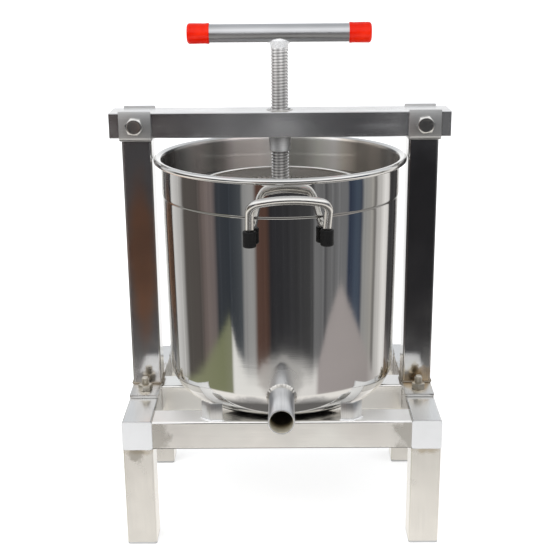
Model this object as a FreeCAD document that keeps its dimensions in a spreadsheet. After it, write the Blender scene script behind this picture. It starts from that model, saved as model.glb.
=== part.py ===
import FreeCAD, Part
import Sketcher
import math
import os
import re

# Honey press: a square-tube stand that carries a screw yoke, a round steel
# barrel with a spout, a perforated basket inside it, and a press plate on the
# end of a lead screw that a T-handle turns.
# Millimetres, +Z up, Z 0 on the floor, X to the right, the spout towards -Y.
# The screw axis is at X 0, Y axis_y, so that the origin is the middle of the
# whole machine's footprint.

V = FreeCAD.Vector
doc = FreeCAD.newDocument("honey_press")
sheet = doc.addObject("Spreadsheet::Sheet", "Dims")

TABLE = [
    ("axis_y", 12.335, "screw axis behind the middle of the footprint"),
    ("tube_side", 30.0, "square tube, outside"),
    ("tube_wall", 1.5, "square tube, wall"),
    ("tube_round", 2.2, "square tube, outer corner radius"),
    ("base_half", 159.0, "half the width over the side rails"),
    ("rail_half", 106.5, "half the length of a side rail"),
    ("rail_low", 107.0, "underside of the rails"),
    ("cross_face", 107.5, "outer face of the front and rear cross rails"),
    ("cap_flange", 2.5, "thickness of a tube plug's flange"),
    ("cap_insert", 12.0, "length of a tube plug inside the tube"),
    ("cap_gap", 0.2, "gap of a tube plug to the tube's inside"),
    ("foot_long", 94.0, "upright foot plate, length"),
    ("foot_thick", 3.0, "upright foot plate, thickness"),
    ("foot_hole_y", 31.0, "foot plate holes from the middle"),
    ("stud_r", 4.0, "foot bolt radius"),
    ("stud_gap", 0.5, "clearance of a foot bolt in its holes, radial"),
    ("stud_head", 5.3, "foot bolt head height"),
    ("stud_af", 13.0, "foot bolt and nut, across flats"),
    ("stud_nut", 6.5, "foot nut height"),
    ("stud_proud", 7.5, "foot bolt above its nut"),
    ("upright_top", 402.0, "top of the uprights"),
    ("saddle_wide", 32.0, "saddle strip width"),
    ("saddle_thick", 3.0, "saddle strip thickness"),
    ("saddle_top", 432.0, "top of the saddle ears"),
    ("saddle_gap", 0.3, "saddle to beam, each side"),
    ("beam_len", 340.0, "cross beam length"),
    ("beam_deep", 40.0, "cross beam depth"),
    ("beam_high", 25.0, "cross beam height"),
    ("beam_wall", 2.0, "cross beam wall"),
    ("beam_round", 0.8, "cross beam corner radius"),
    ("beam_end", 2.0, "beam end plate thickness"),
    ("bolt_r", 5.0, "beam bolt radius"),
    ("bolt_gap", 0.25, "clearance of a beam bolt, radial"),
    ("bolt_head", 6.4, "beam bolt head height"),
    ("bolt_af", 16.0, "beam bolt and nut, across flats"),
    ("bolt_nut", 8.4, "beam nut height"),
    ("bolt_proud", 5.0, "beam bolt past its nut"),
    ("washer_r", 10.0, "beam washer outer radius"),
    ("washer_thick", 2.0, "beam washer thickness"),
    ("nut_r", 12.5, "lead nut outer radius"),
    ("nut_drop", 16.4, "lead nut below the beam"),
    ("nut_proud", 0.6, "lead nut above the beam"),
    ("screw_r", 9.0, "lead screw thread crest radius"),
    ("screw_fit", 0.05, "running clearance of the screw, radial"),
    ("bar_z", 505.4, "T-handle centre height"),
    ("bar_r", 9.0, "T-handle tube radius"),
    ("bar_wall", 1.5, "T-handle tube wall"),
    ("bar_half", 89.0, "half the T-handle tube's length"),
    ("grip_r", 10.25, "T-handle end cap radius"),
    ("grip_len", 22.0, "T-handle end cap length"),
    ("grip_end", 2.0, "T-handle end cap thickness at its end"),
    ("barrel_r", 120.6, "barrel outside radius"),
    ("barrel_wall", 1.2, "barrel sheet thickness"),
    ("barrel_corner", 32.0, "barrel bottom corner radius, outside"),
    ("step_low", 342.5, "barrel step bead, lower edge"),
    ("step_high", 350.5, "barrel step bead, upper edge"),
    ("step_out", 1.1, "barrel step bead, projection"),
    ("neck_out", 0.7, "barrel wall above the step, projection"),
    ("rim_r", 125.0, "rolled rim, centreline radius"),
    ("rim_z", 381.5, "rolled rim, centre height"),
    ("rim_bead", 3.5, "rolled rim, section radius"),
    ("spout_z", 167.0, "spout centre height"),
    ("spout_r", 12.5, "spout outside radius"),
    ("spout_bore", 11.0, "spout bore radius"),
    ("spout_tip", 175.0, "spout tip from the screw axis"),
    ("collar_r", 15.5, "spout collar radius at the wall"),
    ("bail_half", 36.0, "half the spacing of a side handle's legs"),
    ("bail_out", 122.3, "side handle legs from the screw axis"),
    ("bail_rod", 4.0, "side handle rod radius"),
    ("bail_low", 325.5, "side handle, height of the ends turned in to the wall"),
    ("bail_bend", 5.0, "side handle lower bend radius"),
    ("bail_knee", 334.0, "side handle, height where the legs start to lean out"),
    ("bail_knee_r", 8.0, "side handle, bend radius there"),
    ("bail_lean", 36.0, "side handle lean outwards, degrees"),
    ("bail_leg", 23.2, "side handle, straight leaning part of a leg"),
    ("bail_round", 12.0, "side handle top corner radius"),
    ("bail_turn", 76.0, "turn of a top corner, degrees"),
    ("bail_set", 3.5, "both side handles set round the barrel, degrees"),
    ("sleeve_r", 6.3, "rubber sleeve radius"),
    ("sleeve_len", 15.5, "rubber sleeve length"),
    ("sleeve_z", 328.25, "rubber sleeve middle height"),
    ("tab_x", 70.5, "locating tab ridge, sideways"),
    ("tab_y", 105.8, "locating tab ridge, forwards"),
    ("tab_half", 11.2, "half the locating tab's width"),
    ("tab_rise", 4.3, "depth of the locating tab's bend"),
    ("tab_thick", 2.0, "locating tab thickness"),
    ("tab_high", 18.5, "locating tab height"),
    ("tab_turn", 18.0, "locating tab turn outwards, degrees"),
    ("basket_r", 82.5, "basket outside radius"),
    ("basket_wall_t", 1.0, "basket sheet thickness"),
    ("basket_wire", 1.5, "basket wire radius"),
    ("basket_top", 355.4, "basket rim wire centre height"),
    ("basket_gap", 0.1, "basket above the barrel floor"),
    ("basket_floor_z", 144.0, "underside of the basket floor"),
    ("perf_r", 2.5, "drain hole radius"),
    ("plate_r", 76.0, "press plate radius"),
    ("plate_thick", 5.0, "press plate thickness"),
    ("plate_z", 229.0, "underside of the press plate"),
    ("hub_r", 15.0, "press plate hub radius"),
    ("hub_high", 24.5, "press plate hub height"),
    ("neck_r", 7.0, "screw groove radius"),
    ("neck_low", 8.0, "screw groove above the screw's end"),
    ("neck_high", 16.0, "screw groove top above the screw's end"),
    ("pin_r", 3.0, "hub set screw radius"),
    ("pin_tip", 7.4, "hub set screw tip from the axis"),
    ("pin_head", 4.0, "hub set screw head height"),
    ("pin_af", 10.0, "hub set screw across flats"),
]

D = {}
sheet.set("A1", "What it is")
sheet.set("B1", "mm or degrees")
for i, (alias, value, note) in enumerate(TABLE):
    row = i + 2
    sheet.set("A%d" % row, note)
    sheet.set("B%d" % row, repr(value))
    sheet.setAlias("B%d" % row, alias)
    D[alias] = value
doc.recompute()


def sheet_expr(text):
    """A size written with the sheet's aliases, as an expression on the sheet."""
    return re.sub(r"\b([a-z]+(?:_[a-z]+)*)\b",
                  lambda m: "Dims." + m.group(1) if m.group(1) in D else m.group(1), text)


class Reader:
    """Works out + - * / and brackets over the sheet's numbers."""

    def __init__(self, text):
        self.toks = re.findall(r"[a-z_]+|\d+\.?\d*|[-+*/()]", text)
        self.i = 0

    def peek(self):
        return self.toks[self.i] if self.i < len(self.toks) else ""

    def take(self):
        t = self.peek()
        self.i += 1
        return t

    def atom(self):
        t = self.take()
        if t == "-":
            return -self.atom()
        if t == "(":
            v = self.add()
            self.take()
            return v
        return D[t] if t in D else float(t)

    def mul(self):
        v = self.atom()
        while self.peek() in ("*", "/"):
            v = v * self.atom() if self.take() == "*" else v / self.atom()
        return v

    def add(self):
        v = self.mul()
        while self.peek() in ("+", "-"):
            v = v + self.mul() if self.take() == "+" else v - self.mul()
        return v


def val(text):
    return Reader(str(text)).add()


def bind(obj, prop, text):
    """Sets a property from the sheet and keeps it bound to it."""
    obj.setExpression(prop, sheet_expr(str(text)))


def put(obj, x="0", y="0", z="0", rot=None):
    """Places an object, Y counted from the screw axis."""
    y = "axis_y+(%s)" % y
    obj.Placement = FreeCAD.Placement(V(val(x), val(y), val(z)), rot or FreeCAD.Rotation())
    for axis, text in (("x", x), ("y", y), ("z", z)):
        bind(obj, "Placement.Base." + axis, text)
    return obj


parts = []


def piece(obj, label):
    obj.Label = label
    parts.append(obj)
    return obj


# ---------------------------------------------------------------- sketching

def origin_item(body, role):
    for o in body.Origin.OriginFeatures:
        if o.Role == role:
            return o
    raise RuntimeError(role)


def new_sketch(body, plane, name):
    sk = body.newObject("Sketcher::SketchObject", name)
    sk.AttachmentSupport = [(origin_item(body, plane), "")]
    sk.MapMode = "FlatFace"
    return sk


def fix_point(sk, geo, pos, x, y):
    """Holds one point of the sketch at sizes taken from the sheet."""
    for kind, text, axis in (("DistanceX", x, -2), ("DistanceY", y, -1)):
        if abs(val(text)) < 1e-9:
            sk.addConstraint(Sketcher.Constraint("PointOnObject", geo, pos, axis))
        else:
            n = sk.addConstraint(Sketcher.Constraint(kind, -1, 1, geo, pos, val(text)))
            bind(sk, "Constraints[%d]" % n, text)


def outline(sk, pts):
    """A closed outline of straight lines through points of sheet sizes."""
    xy = [V(val(x), val(y), 0) for x, y in pts]
    ids = []
    for a, b in zip(xy, xy[1:] + xy[:1]):
        ids.append(sk.addGeometry(Part.LineSegment(a, b), False))
    for i, g in enumerate(ids):
        sk.addConstraint(Sketcher.Constraint("Coincident", g, 2, ids[(i + 1) % len(ids)], 1))
    for g, (x, y) in zip(ids, pts):
        fix_point(sk, g, 1, x, y)
    return sk


def ring(sk, x, y, r):
    g = sk.addGeometry(Part.Circle(V(val(x), val(y), 0), V(0, 0, 1), val(r)), False)
    n = sk.addConstraint(Sketcher.Constraint("Radius", g, val(r)))
    bind(sk, "Constraints[%d]" % n, r)
    fix_point(sk, g, 3, x, y)
    return sk


def rect(sk, half_x, half_y):
    hx, hy = "(%s)" % half_x, "(%s)" % half_y
    return outline(sk, [("-" + hx, "-" + hy), (hx, "-" + hy), (hx, hy), ("-" + hx, hy)])


def new_body(name):
    return doc.addObject("PartDesign::Body", name)


def pad(body, sk, length, both=False, back=False, name="Pad"):
    f = body.newObject("PartDesign::Pad", name)
    f.Profile = sk
    f.Length = val(length)
    bind(f, "Length", length)
    f.SideType = "Symmetric" if both else "One side"
    f.Reversed = back
    sk.Visibility = False
    doc.recompute()
    return f


def pocket(body, sk, length, both=False, back=False, name="Pocket"):
    before = body.Shape.Volume
    f = body.newObject("PartDesign::Pocket", name)
    f.Profile = sk
    f.Length = val(length)
    bind(f, "Length", length)
    f.SideType = "Symmetric" if both else "One side"
    f.Reversed = back
    sk.Visibility = False
    doc.recompute()
    if not body.Shape.Volume < before - 1e-6:
        raise RuntimeError("pocket cut nothing: " + body.Name)
    return f


def revolve(body, sk, name="Revolution", axis="Z_Axis"):
    f = body.newObject("PartDesign::Revolution", name)
    f.Profile = sk
    f.ReferenceAxis = (origin_item(body, axis), [""])
    f.Angle = 360.0
    sk.Visibility = False
    doc.recompute()
    return f


def dress(body, kind, feature, size, test, name):
    """Fillet or chamfer on the edges of a feature that pass a test."""
    names = ["Edge%d" % (i + 1) for i, e in enumerate(feature.Shape.Edges) if test(e)]
    if not names:
        raise RuntimeError("no edges: " + body.Name + " " + name)
    f = body.newObject("PartDesign::" + kind, name)
    f.Base = (feature, names)
    prop = "Radius" if kind == "Fillet" else "Size"
    setattr(f, prop, val(size))
    bind(f, prop, size)
    doc.recompute()
    return f


def straight(e):
    return isinstance(e.Curve, (Part.Line, Part.LineSegment))


def along(e, axis):
    if not straight(e):
        return False
    d = e.Vertexes[-1].Point - e.Vertexes[0].Point
    return abs(abs(d.normalize().dot(axis)) - 1) < 1e-6


AXES = {"XY_Plane": V(0, 0, 1), "XZ_Plane": V(0, 1, 0), "YZ_Plane": V(1, 0, 0)}


def square_tube(label, plane, length, both):
    """A length of square tube with rounded outer corners."""
    b = new_body(label)
    sk = new_sketch(b, plane, label + "_section")
    rect(sk, "tube_side/2", "tube_side/2")
    rect(sk, "tube_side/2-tube_wall", "tube_side/2-tube_wall")
    p = pad(b, sk, length, both=both, name=label + "_pad")
    axis = AXES[plane]
    half = val("tube_side/2")

    def outer(e):
        if not along(e, axis):
            return False
        q = e.CenterOfMass
        return max(abs(c) for c in (q - axis * q.dot(axis))) > half - 1e-3

    dress(b, "Fillet", p, "tube_round", outer, label + "_corners")
    return b


# ------------------------------------------------------------------- stand

for side, sign in (("left", "-"), ("right", "")):
    x = sign + "(base_half-tube_side/2)"
    b = square_tube("side_rail_" + side, "XZ_Plane", "2*rail_half", True)
    sk = new_sketch(b, "XY_Plane", "side_rail_%s_holes" % side)
    ring(sk, "0", "foot_hole_y", "stud_r+stud_gap")
    ring(sk, "0", "-foot_hole_y", "stud_r+stud_gap")
    pocket(b, sk, "tube_side+4", both=True, name="side_rail_%s_drill" % side)
    piece(put(b, x, "0", "rail_low+tube_side/2"), "side_rail_" + side)

for label, y in (("front", "-(cross_face-tube_side/2)"), ("middle", "0"),
                 ("rear", "cross_face-tube_side/2")):
    b = square_tube("cross_rail_" + label, "YZ_Plane", "2*(base_half-tube_side)", True)
    piece(put(b, "0", y, "rail_low+tube_side/2"), "cross_rail_" + label)

for fb, ys in (("front", "-"), ("rear", "")):
    for side, xs in (("left", "-"), ("right", "")):
        label = "leg_%s_%s" % (fb, side)
        b = square_tube(label, "XY_Plane", "rail_low-cap_flange", False)
        piece(put(b, xs + "(base_half-tube_side/2)", ys + "(rail_half-tube_side/2)",
                  "cap_flange"), label)


def group(label, master, spots):
    """One node of equal pieces: the master shape, linked at each spot."""
    links = []
    for i, (x, y, z, rot) in enumerate(spots):
        l = doc.addObject("App::Link", "%s_%d" % (label, i + 1))
        l.LinkedObject = master
        put(l, x, y, z, rot)
        links.append(l)
    c = doc.addObject("Part::Compound", label)
    c.Links = links
    doc.recompute()
    return piece(c, label)


# tube plug: a flange over the tube's end and a hollow block inside it,
# modelled along +Z with the flange's outer face at Z 0
plug = new_body("tube_plug")
sk = new_sketch(plug, "XY_Plane", "plug_flange")
rect(sk, "tube_side/2", "tube_side/2")
p = pad(plug, sk, "cap_flange", name="plug_flange_pad")
p = dress(plug, "Fillet", p, "tube_round", lambda e: along(e, V(0, 0, 1)), "plug_corners")
p = dress(plug, "Fillet", p, "cap_flange/3", lambda e: abs(e.BoundBox.ZMax) < 1e-6, "plug_face_edge")
sk = new_sketch(plug, "XY_Plane", "plug_insert")
rect(sk, "tube_side/2-tube_wall-cap_gap", "tube_side/2-tube_wall-cap_gap")
rect(sk, "tube_side/2-tube_wall-cap_gap-2", "tube_side/2-tube_wall-cap_gap-2")
sk.AttachmentOffset = FreeCAD.Placement(V(0, 0, val("cap_flange")), FreeCAD.Rotation())
bind(sk, "AttachmentOffset.Base.z", "cap_flange")
pad(plug, sk, "cap_insert", name="plug_insert_pad")

X_CAP = "(base_half-tube_side/2)"
TO_BACK = FreeCAD.Rotation(V(1, 0, 0), -90)     # +Z to +Y
TO_FRONT = FreeCAD.Rotation(V(1, 0, 0), 90)     # +Z to -Y
group("rail_end_caps", plug, [
    ("-" + X_CAP, "-(rail_half+cap_flange)", "rail_low+tube_side/2", TO_BACK),
    (X_CAP, "-(rail_half+cap_flange)", "rail_low+tube_side/2", TO_BACK),
    ("-" + X_CAP, "rail_half+cap_flange", "rail_low+tube_side/2", TO_FRONT),
    (X_CAP, "rail_half+cap_flange", "rail_low+tube_side/2", TO_FRONT)])
Y_LEG = "(rail_half-tube_side/2)"
group("foot_caps", plug, [
    (xs + X_CAP, ys + Y_LEG, "0", FreeCAD.Rotation())
    for xs in ("-", "") for ys in ("-", "")])

# ----------------------------------------------------------------- uprights

for side, sign in (("left", "-"), ("right", "")):
    x = sign + X_CAP
    label = "upright_foot_" + side
    b = new_body(label)
    sk = new_sketch(b, "XY_Plane", label + "_outline")
    rect(sk, "tube_side/2", "foot_long/2")
    ring(sk, "0", "foot_hole_y", "stud_r+stud_gap")
    ring(sk, "0", "-foot_hole_y", "stud_r+stud_gap")
    p = pad(b, sk, "foot_thick", name=label + "_pad")
    dress(b, "Fillet", p, "1.5", lambda e: along(e, V(0, 0, 1)), label + "_corners")
    piece(put(b, x, "0", "rail_low+tube_side"), label)

    label = "upright_" + side
    b = square_tube(label, "XY_Plane", "upright_top-rail_low-tube_side-foot_thick", False)
    piece(put(b, x, "0", "rail_low+tube_side+foot_thick"), label)

    # bent strip that takes the beam between its two ears
    label = "saddle_" + side
    b = new_body(label)
    sk = new_sketch(b, "YZ_Plane", label + "_section")
    yi = "(beam_deep/2+saddle_gap)"
    yo = "(beam_deep/2+saddle_gap+saddle_thick)"
    top = "(saddle_top-upright_top)"
    outline(sk, [("-" + yo, "0"), (yo, "0"), (yo, top), (yi, top), (yi, "saddle_thick"),
                 ("-" + yi, "saddle_thick"), ("-" + yi, top), ("-" + yo, top)])
    p = pad(b, sk, "saddle_wide", both=True, name=label + "_pad")
    p = dress(b, "Fillet", p, "saddle_thick+1",
              lambda e: along(e, V(1, 0, 0)) and abs(e.CenterOfMass.z) < 1e-6, label + "_bend")
    p = dress(b, "Fillet", p, "1.2",
              lambda e: along(e, V(1, 0, 0)) and abs(e.CenterOfMass.z - D["saddle_thick"]) < 1e-6,
              label + "_bend_inside")
    dress(b, "Fillet", p, "1.5",
          lambda e: along(e, V(0, 1, 0)) and e.CenterOfMass.z > D["saddle_thick"] + 1, label + "_ear_corners")
    sk = new_sketch(b, "XZ_Plane", label + "_hole")
    ring(sk, "0", "saddle_thick+beam_high/2", "bolt_r+bolt_gap")
    pocket(b, sk, "2*beam_deep", both=True, name=label + "_drill")
    piece(put(b, x, "0", "upright_top"), label)


def hexagon(name, af, height, round_edge=True):
    """A hexagonal prism along +Z from Z 0, its far corners turned off round."""
    prism = doc.addObject("Part::Prism", name + "_hexagon")
    prism.Polygon = 6
    prism.Circumradius = val(af) / math.sqrt(3)
    prism.setExpression("Circumradius", "(%s)/sqrt(3)" % sheet_expr(af))
    prism.Height = val(height)
    bind(prism, "Height", height)
    if not round_edge:
        return prism
    cone = doc.addObject("Part::Cone", name + "_turned")
    # 30 degree turning that meets the flats' middle at the far face
    bind(cone, "Height", height)
    bind(cone, "Radius2", "(%s)/2*0.98" % af)
    cone.setExpression("Radius1", "(%s)/2*0.98 + (%s)*1.732" % (sheet_expr(af), sheet_expr(height)))
    com = doc.addObject("Part::Common", name + "_head")
    com.Base = prism
    com.Tool = cone
    doc.recompute()
    return com


def rod(name, radius, length, z="0"):
    c = doc.addObject("Part::Cylinder", name)
    bind(c, "Radius", radius)
    bind(c, "Height", length)
    c.Placement = FreeCAD.Placement(V(0, 0, val(z)), FreeCAD.Rotation())
    bind(c, "Placement.Base.z", z)
    return c


def hex_bolt(name, r, af, head, shank):
    """Hex bolt along +Z: head from Z -head to 0, shank from 0 upwards, end chamfered."""
    h = hexagon(name, af, head)
    h.Placement = FreeCAD.Placement(V(0, 0, 0), FreeCAD.Rotation(V(1, 0, 0), 180))
    s = rod(name + "_rod", r, shank)
    doc.recompute()
    ch = doc.addObject("Part::Chamfer", name + "_shank")
    ch.Base = s
    far = [i + 1 for i, e in enumerate(s.Shape.Edges)
           if isinstance(e.Curve, Part.Circle) and abs(e.CenterOfMass.z - val(shank)) < 1e-6]
    ch.Edges = [(i, 0.8, 0.8) for i in far]
    f = doc.addObject("Part::MultiFuse", name)
    f.Shapes = [h, ch]
    f.Refine = True
    doc.recompute()
    return f


def hex_nut(name, af, height, hole):
    """Hex nut along +Z from Z 0, both faces turned off."""
    h = hexagon(name, af, height)
    cone = doc.addObject("Part::Cone", name + "_turned_low")
    bind(cone, "Height", height)
    bind(cone, "Radius1", "(%s)/2*0.98" % af)
    cone.setExpression("Radius2", "(%s)/2*0.98 + (%s)*1.732" % (sheet_expr(af), sheet_expr(height)))
    com = doc.addObject("Part::Common", name + "_blank")
    com.Base = h
    com.Tool = cone
    bore = rod(name + "_bore", hole, "(%s)+4" % height, "-2")
    cut = doc.addObject("Part::Cut", name)
    cut.Base = com
    cut.Tool = bore
    doc.recompute()
    return cut


# foot bolts: head under the rail, nut on the foot plate
STUD_LEN = "tube_side+foot_thick+stud_nut+stud_proud"
stud = hex_bolt("foot_bolt", "stud_r", "stud_af", "stud_head", STUD_LEN)
nut = hex_nut("foot_nut", "stud_af", "stud_nut", "stud_r+0.05")
SPOTS = [(xs + X_CAP, ys + "foot_hole_y") for xs in ("-", "") for ys in ("-", "")]
TURNS = (12.0, -8.0, 20.0, 4.0)
group("foot_bolts", stud, [(x, y, "rail_low", FreeCAD.Rotation(V(0, 0, 1), 0)) for x, y in SPOTS])
group("foot_nuts", nut, [(x, y, "rail_low+tube_side+foot_thick", FreeCAD.Rotation(V(0, 0, 1), t))
                         for (x, y), t in zip(SPOTS, TURNS)])

# --------------------------------------------------------------- cross beam

b = new_body("cross_beam")
sk = new_sketch(b, "YZ_Plane", "cross_beam_section")
rect(sk, "beam_deep/2", "beam_high/2")
rect(sk, "beam_deep/2-beam_wall", "beam_high/2-beam_wall")
p = pad(b, sk, "beam_len-2*beam_end", both=True, name="cross_beam_pad")
dress(b, "Fillet", p, "beam_round",
      lambda e: along(e, V(1, 0, 0)) and abs(e.CenterOfMass.z) > val("beam_high/2") - 1e-3,
      "cross_beam_corners")
sk = new_sketch(b, "XY_Plane", "cross_beam_nut_hole")
ring(sk, "0", "0", "nut_r+0.05")
pocket(b, sk, "beam_high+4", both=True, name="cross_beam_nut_drill")
sk = new_sketch(b, "XZ_Plane", "cross_beam_bolt_holes")
ring(sk, "-(base_half-tube_side/2)", "0", "bolt_r+bolt_gap")
ring(sk, "base_half-tube_side/2", "0", "bolt_r+bolt_gap")
pocket(b, sk, "beam_deep+4", both=True, name="cross_beam_bolt_drill")
BEAM_Z = "upright_top+saddle_thick+beam_high/2"
piece(put(b, "0", "0", BEAM_Z), "cross_beam")

b = new_body("beam_end_plate")
sk = new_sketch(b, "YZ_Plane", "beam_end_outline")
rect(sk, "beam_deep/2", "beam_high/2")
p = pad(b, sk, "beam_end", name="beam_end_pad")
dress(b, "Fillet", p, "beam_round", lambda e: along(e, V(1, 0, 0)), "beam_end_corners")
group("beam_end_plates", b, [("-beam_len/2", "0", BEAM_Z, None),
                             ("beam_len/2-beam_end", "0", BEAM_Z, None)])

# beam bolts: head in front, washer and nut behind
EAR = "(beam_deep/2+saddle_gap+saddle_thick)"
bolt = hex_bolt("beam_bolt", "bolt_r", "bolt_af", "bolt_head",
                "2*%s+washer_thick+bolt_nut+bolt_proud" % EAR)
NUT_TURN = FreeCAD.Rotation(V(1, 0, 0), -90)
group("beam_bolts", bolt, [("-" + X_CAP, "-" + EAR, BEAM_Z, NUT_TURN.multiply(FreeCAD.Rotation(V(0, 0, 1), 32))),
                           (X_CAP, "-" + EAR, BEAM_Z, NUT_TURN.multiply(FreeCAD.Rotation(V(0, 0, 1), 24)))])
w = doc.addObject("Part::Cut", "beam_washer")
w.Base = rod("beam_washer_disc", "washer_r", "washer_thick")
w.Tool = rod("beam_washer_hole", "bolt_r+bolt_gap", "washer_thick+4", "-2")
doc.recompute()
group("beam_washers", w, [("-" + X_CAP, EAR, BEAM_Z, NUT_TURN), (X_CAP, EAR, BEAM_Z, NUT_TURN)])
bn = hex_nut("beam_nut", "bolt_af", "bolt_nut", "bolt_r+0.05")
group("beam_nuts", bn, [("-" + X_CAP, EAR + "+washer_thick", BEAM_Z, NUT_TURN),
                        (X_CAP, EAR + "+washer_thick", BEAM_Z, NUT_TURN)])

# lead nut: a turned boss through the beam, recessed round the screw on top
b = new_body("lead_nut")
sk = new_sketch(b, "XZ_Plane", "lead_nut_section")
lo, hi = "-(beam_high/2+nut_drop)", "(beam_high/2+nut_proud)"
bore = "(screw_r+screw_fit)"
outline(sk, [(bore, lo), ("nut_r-1", lo), ("nut_r", lo + "+1"), ("nut_r", hi),
             ("nut_r-1.6", hi), ("nut_r-1.6", hi + "-1.6"), (bore, hi + "-1.6")])
revolve(b, sk, "lead_nut_turned")
piece(put(b, "0", "0", BEAM_Z), "lead_nut")

# locating tabs: short bent strips welded on the front and rear cross rails,
# the ridge at the origin and towards -Y
tab = new_body("locating_tab")
sk = new_sketch(tab, "XY_Plane", "locating_tab_section")
outline(sk, [("0", "0"), ("tab_half", "tab_rise"), ("tab_half-tab_thick*0.36", "tab_rise+tab_thick*0.93"),
             ("0", "tab_thick*1.07"), ("-(tab_half-tab_thick*0.36)", "tab_rise+tab_thick*0.93"),
             ("-tab_half", "tab_rise")])
p = pad(tab, sk, "tab_high", name="locating_tab_pad")
dress(tab, "Fillet", p, "2.0", lambda e: along(e, V(0, 0, 1))
      and abs(e.CenterOfMass.x) < 1e-6 and abs(e.CenterOfMass.y) < 1e-6, "locating_tab_ridge")
T = D["tab_turn"]
group("locating_tabs", tab, [
    ("tab_x", "-tab_y", "rail_low+tube_side", FreeCAD.Rotation(V(0, 0, 1), T)),
    ("-tab_x", "-tab_y", "rail_low+tube_side", FreeCAD.Rotation(V(0, 0, 1), -T)),
    ("tab_x", "tab_y", "rail_low+tube_side", FreeCAD.Rotation(V(0, 0, 1), 180 - T)),
    ("-tab_x", "tab_y", "rail_low+tube_side", FreeCAD.Rotation(V(0, 0, 1), 180 + T))])

# ------------------------------------------------------------------- barrel

b = new_body("barrel")
sk = new_sketch(b, "XZ_Plane", "barrel_section")
FLOOR = "(rail_low+tube_side)"
ro, ri = "barrel_r", "(barrel_r-barrel_wall)"
so, si = "(barrel_r+step_out)", "(barrel_r+step_out-barrel_wall)"
no, ni = "(barrel_r+neck_out)", "(barrel_r+neck_out-barrel_wall)"
end = "(rim_z-rim_bead+1.2)"
rin = "(rim_r-rim_bead)"
outline(sk, [("0", FLOOR), (ro, FLOOR), (ro, "step_low"), (so, "step_low+2"), (so, "step_high-2"),
             (no, "step_high"), (no, end + "-8"), (rin + "+1.9", end), (rin + "+0.7", end), (ni, end + "-8"),
             (ni, "step_high"), (si, "step_high-2"), (si, "step_low+2"), (ri, "step_low"),
             (ri, FLOOR + "+barrel_wall"), ("0", FLOOR + "+barrel_wall")])
p = revolve(b, sk, "barrel_turned")


def circle_at(e, r, z):
    return (isinstance(e.Curve, Part.Circle) and abs(e.Curve.Radius - r) < 1e-3
            and abs(e.CenterOfMass.z - z) < 1e-3)


p = dress(b, "Fillet", p, "barrel_corner",
          lambda e: circle_at(e, val(ro), val(FLOOR)), "barrel_corner_outside")
p = dress(b, "Fillet", p, "barrel_corner-barrel_wall",
          lambda e: circle_at(e, val(ri), val(FLOOR + "+barrel_wall")), "barrel_corner_inside")
sk = new_sketch(b, "XZ_Plane", "barrel_rim_section")
ring(sk, "rim_r", "rim_z", "rim_bead")
revolve(b, sk, "barrel_rim")
sk = new_sketch(b, "XZ_Plane", "barrel_spout_hole")
ring(sk, "0", "spout_z", "spout_bore")
pocket(b, sk, "barrel_r+10", back=True, name="barrel_spout_drill")
if b.Shape.isInside(V(0, -val("barrel_r-barrel_wall/2"), D["spout_z"]), 1e-3, True):
    raise RuntimeError("the spout hole is on the wrong side")
piece(put(b), "barrel")


def along_front(name, radius, length, y):
    """A cylinder along -Y at the spout's height that starts at y from the screw axis."""
    c = rod(name, radius, length)
    c.setExpression("Placement.Base.z", None)
    c.Placement = FreeCAD.Placement(V(0, val(y), val("spout_z")), FreeCAD.Rotation(V(1, 0, 0), 90))
    bind(c, "Placement.Base.y", y)
    bind(c, "Placement.Base.z", "spout_z")
    return c


def barrel_block(name):
    """The barrel's outside round the spout as one solid, its lower corner rounded."""
    c = rod(name, "barrel_r", "rail_half", FLOOR)
    doc.recompute()
    f = doc.addObject("Part::Fillet", name + "_round")
    f.Base = c
    f.Edges = [(i + 1, D["barrel_corner"], D["barrel_corner"]) for i, e in enumerate(c.Shape.Edges)
               if circle_at(e, D["barrel_r"], val(FLOOR))]
    return f


wall = barrel_block("barrel_outside")
tube_cut = doc.addObject("Part::Cut", "spout_pipe")
tube_cut.Base = along_front("spout_outside", "spout_r", "spout_tip-barrel_r+10", "-(barrel_r-10)")
tube_cut.Tool = along_front("spout_inside", "spout_bore", "spout_tip-barrel_r+20", "-(barrel_r-15)")
pipe = doc.addObject("Part::Cut", "spout_pipe_dressed")
pipe.Base = tube_cut
pipe.Tool = wall

# weld ring round the root of the spout, one with it
cone = doc.addObject("Part::Cone", "spout_collar_cone")
bind(cone, "Radius1", "collar_r+2")
bind(cone, "Radius2", "spout_r+0.6")
bind(cone, "Height", "10")
cone.Placement = FreeCAD.Placement(V(0, -val("barrel_r-7"), val("spout_z")), FreeCAD.Rotation(V(1, 0, 0), 90))
bind(cone, "Placement.Base.y", "-(barrel_r-7)")
bind(cone, "Placement.Base.z", "spout_z")
tools = doc.addObject("Part::MultiFuse", "spout_collar_tools")
tools.Shapes = [along_front("spout_collar_inside", "spout_r", "30", "-(barrel_r-15)"),
                barrel_block("barrel_outside_too")]
cut = doc.addObject("Part::Cut", "spout_collar")
cut.Base = cone
cut.Tool = tools
fused = doc.addObject("Part::MultiFuse", "spout")
fused.Shapes = [pipe, cut]
fused.Refine = True
doc.recompute()
if len(fused.Shape.Solids) != 1:
    raise RuntimeError("the spout and its weld ring are not one solid")
piece(put(fused), "spout")

# side handles: one bent rod each, its lower ends turned in to the barrel wall.
# The rod's line is straight runs joined by tangent arcs: in, up, leaning out,
# over, and the same back.

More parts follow.
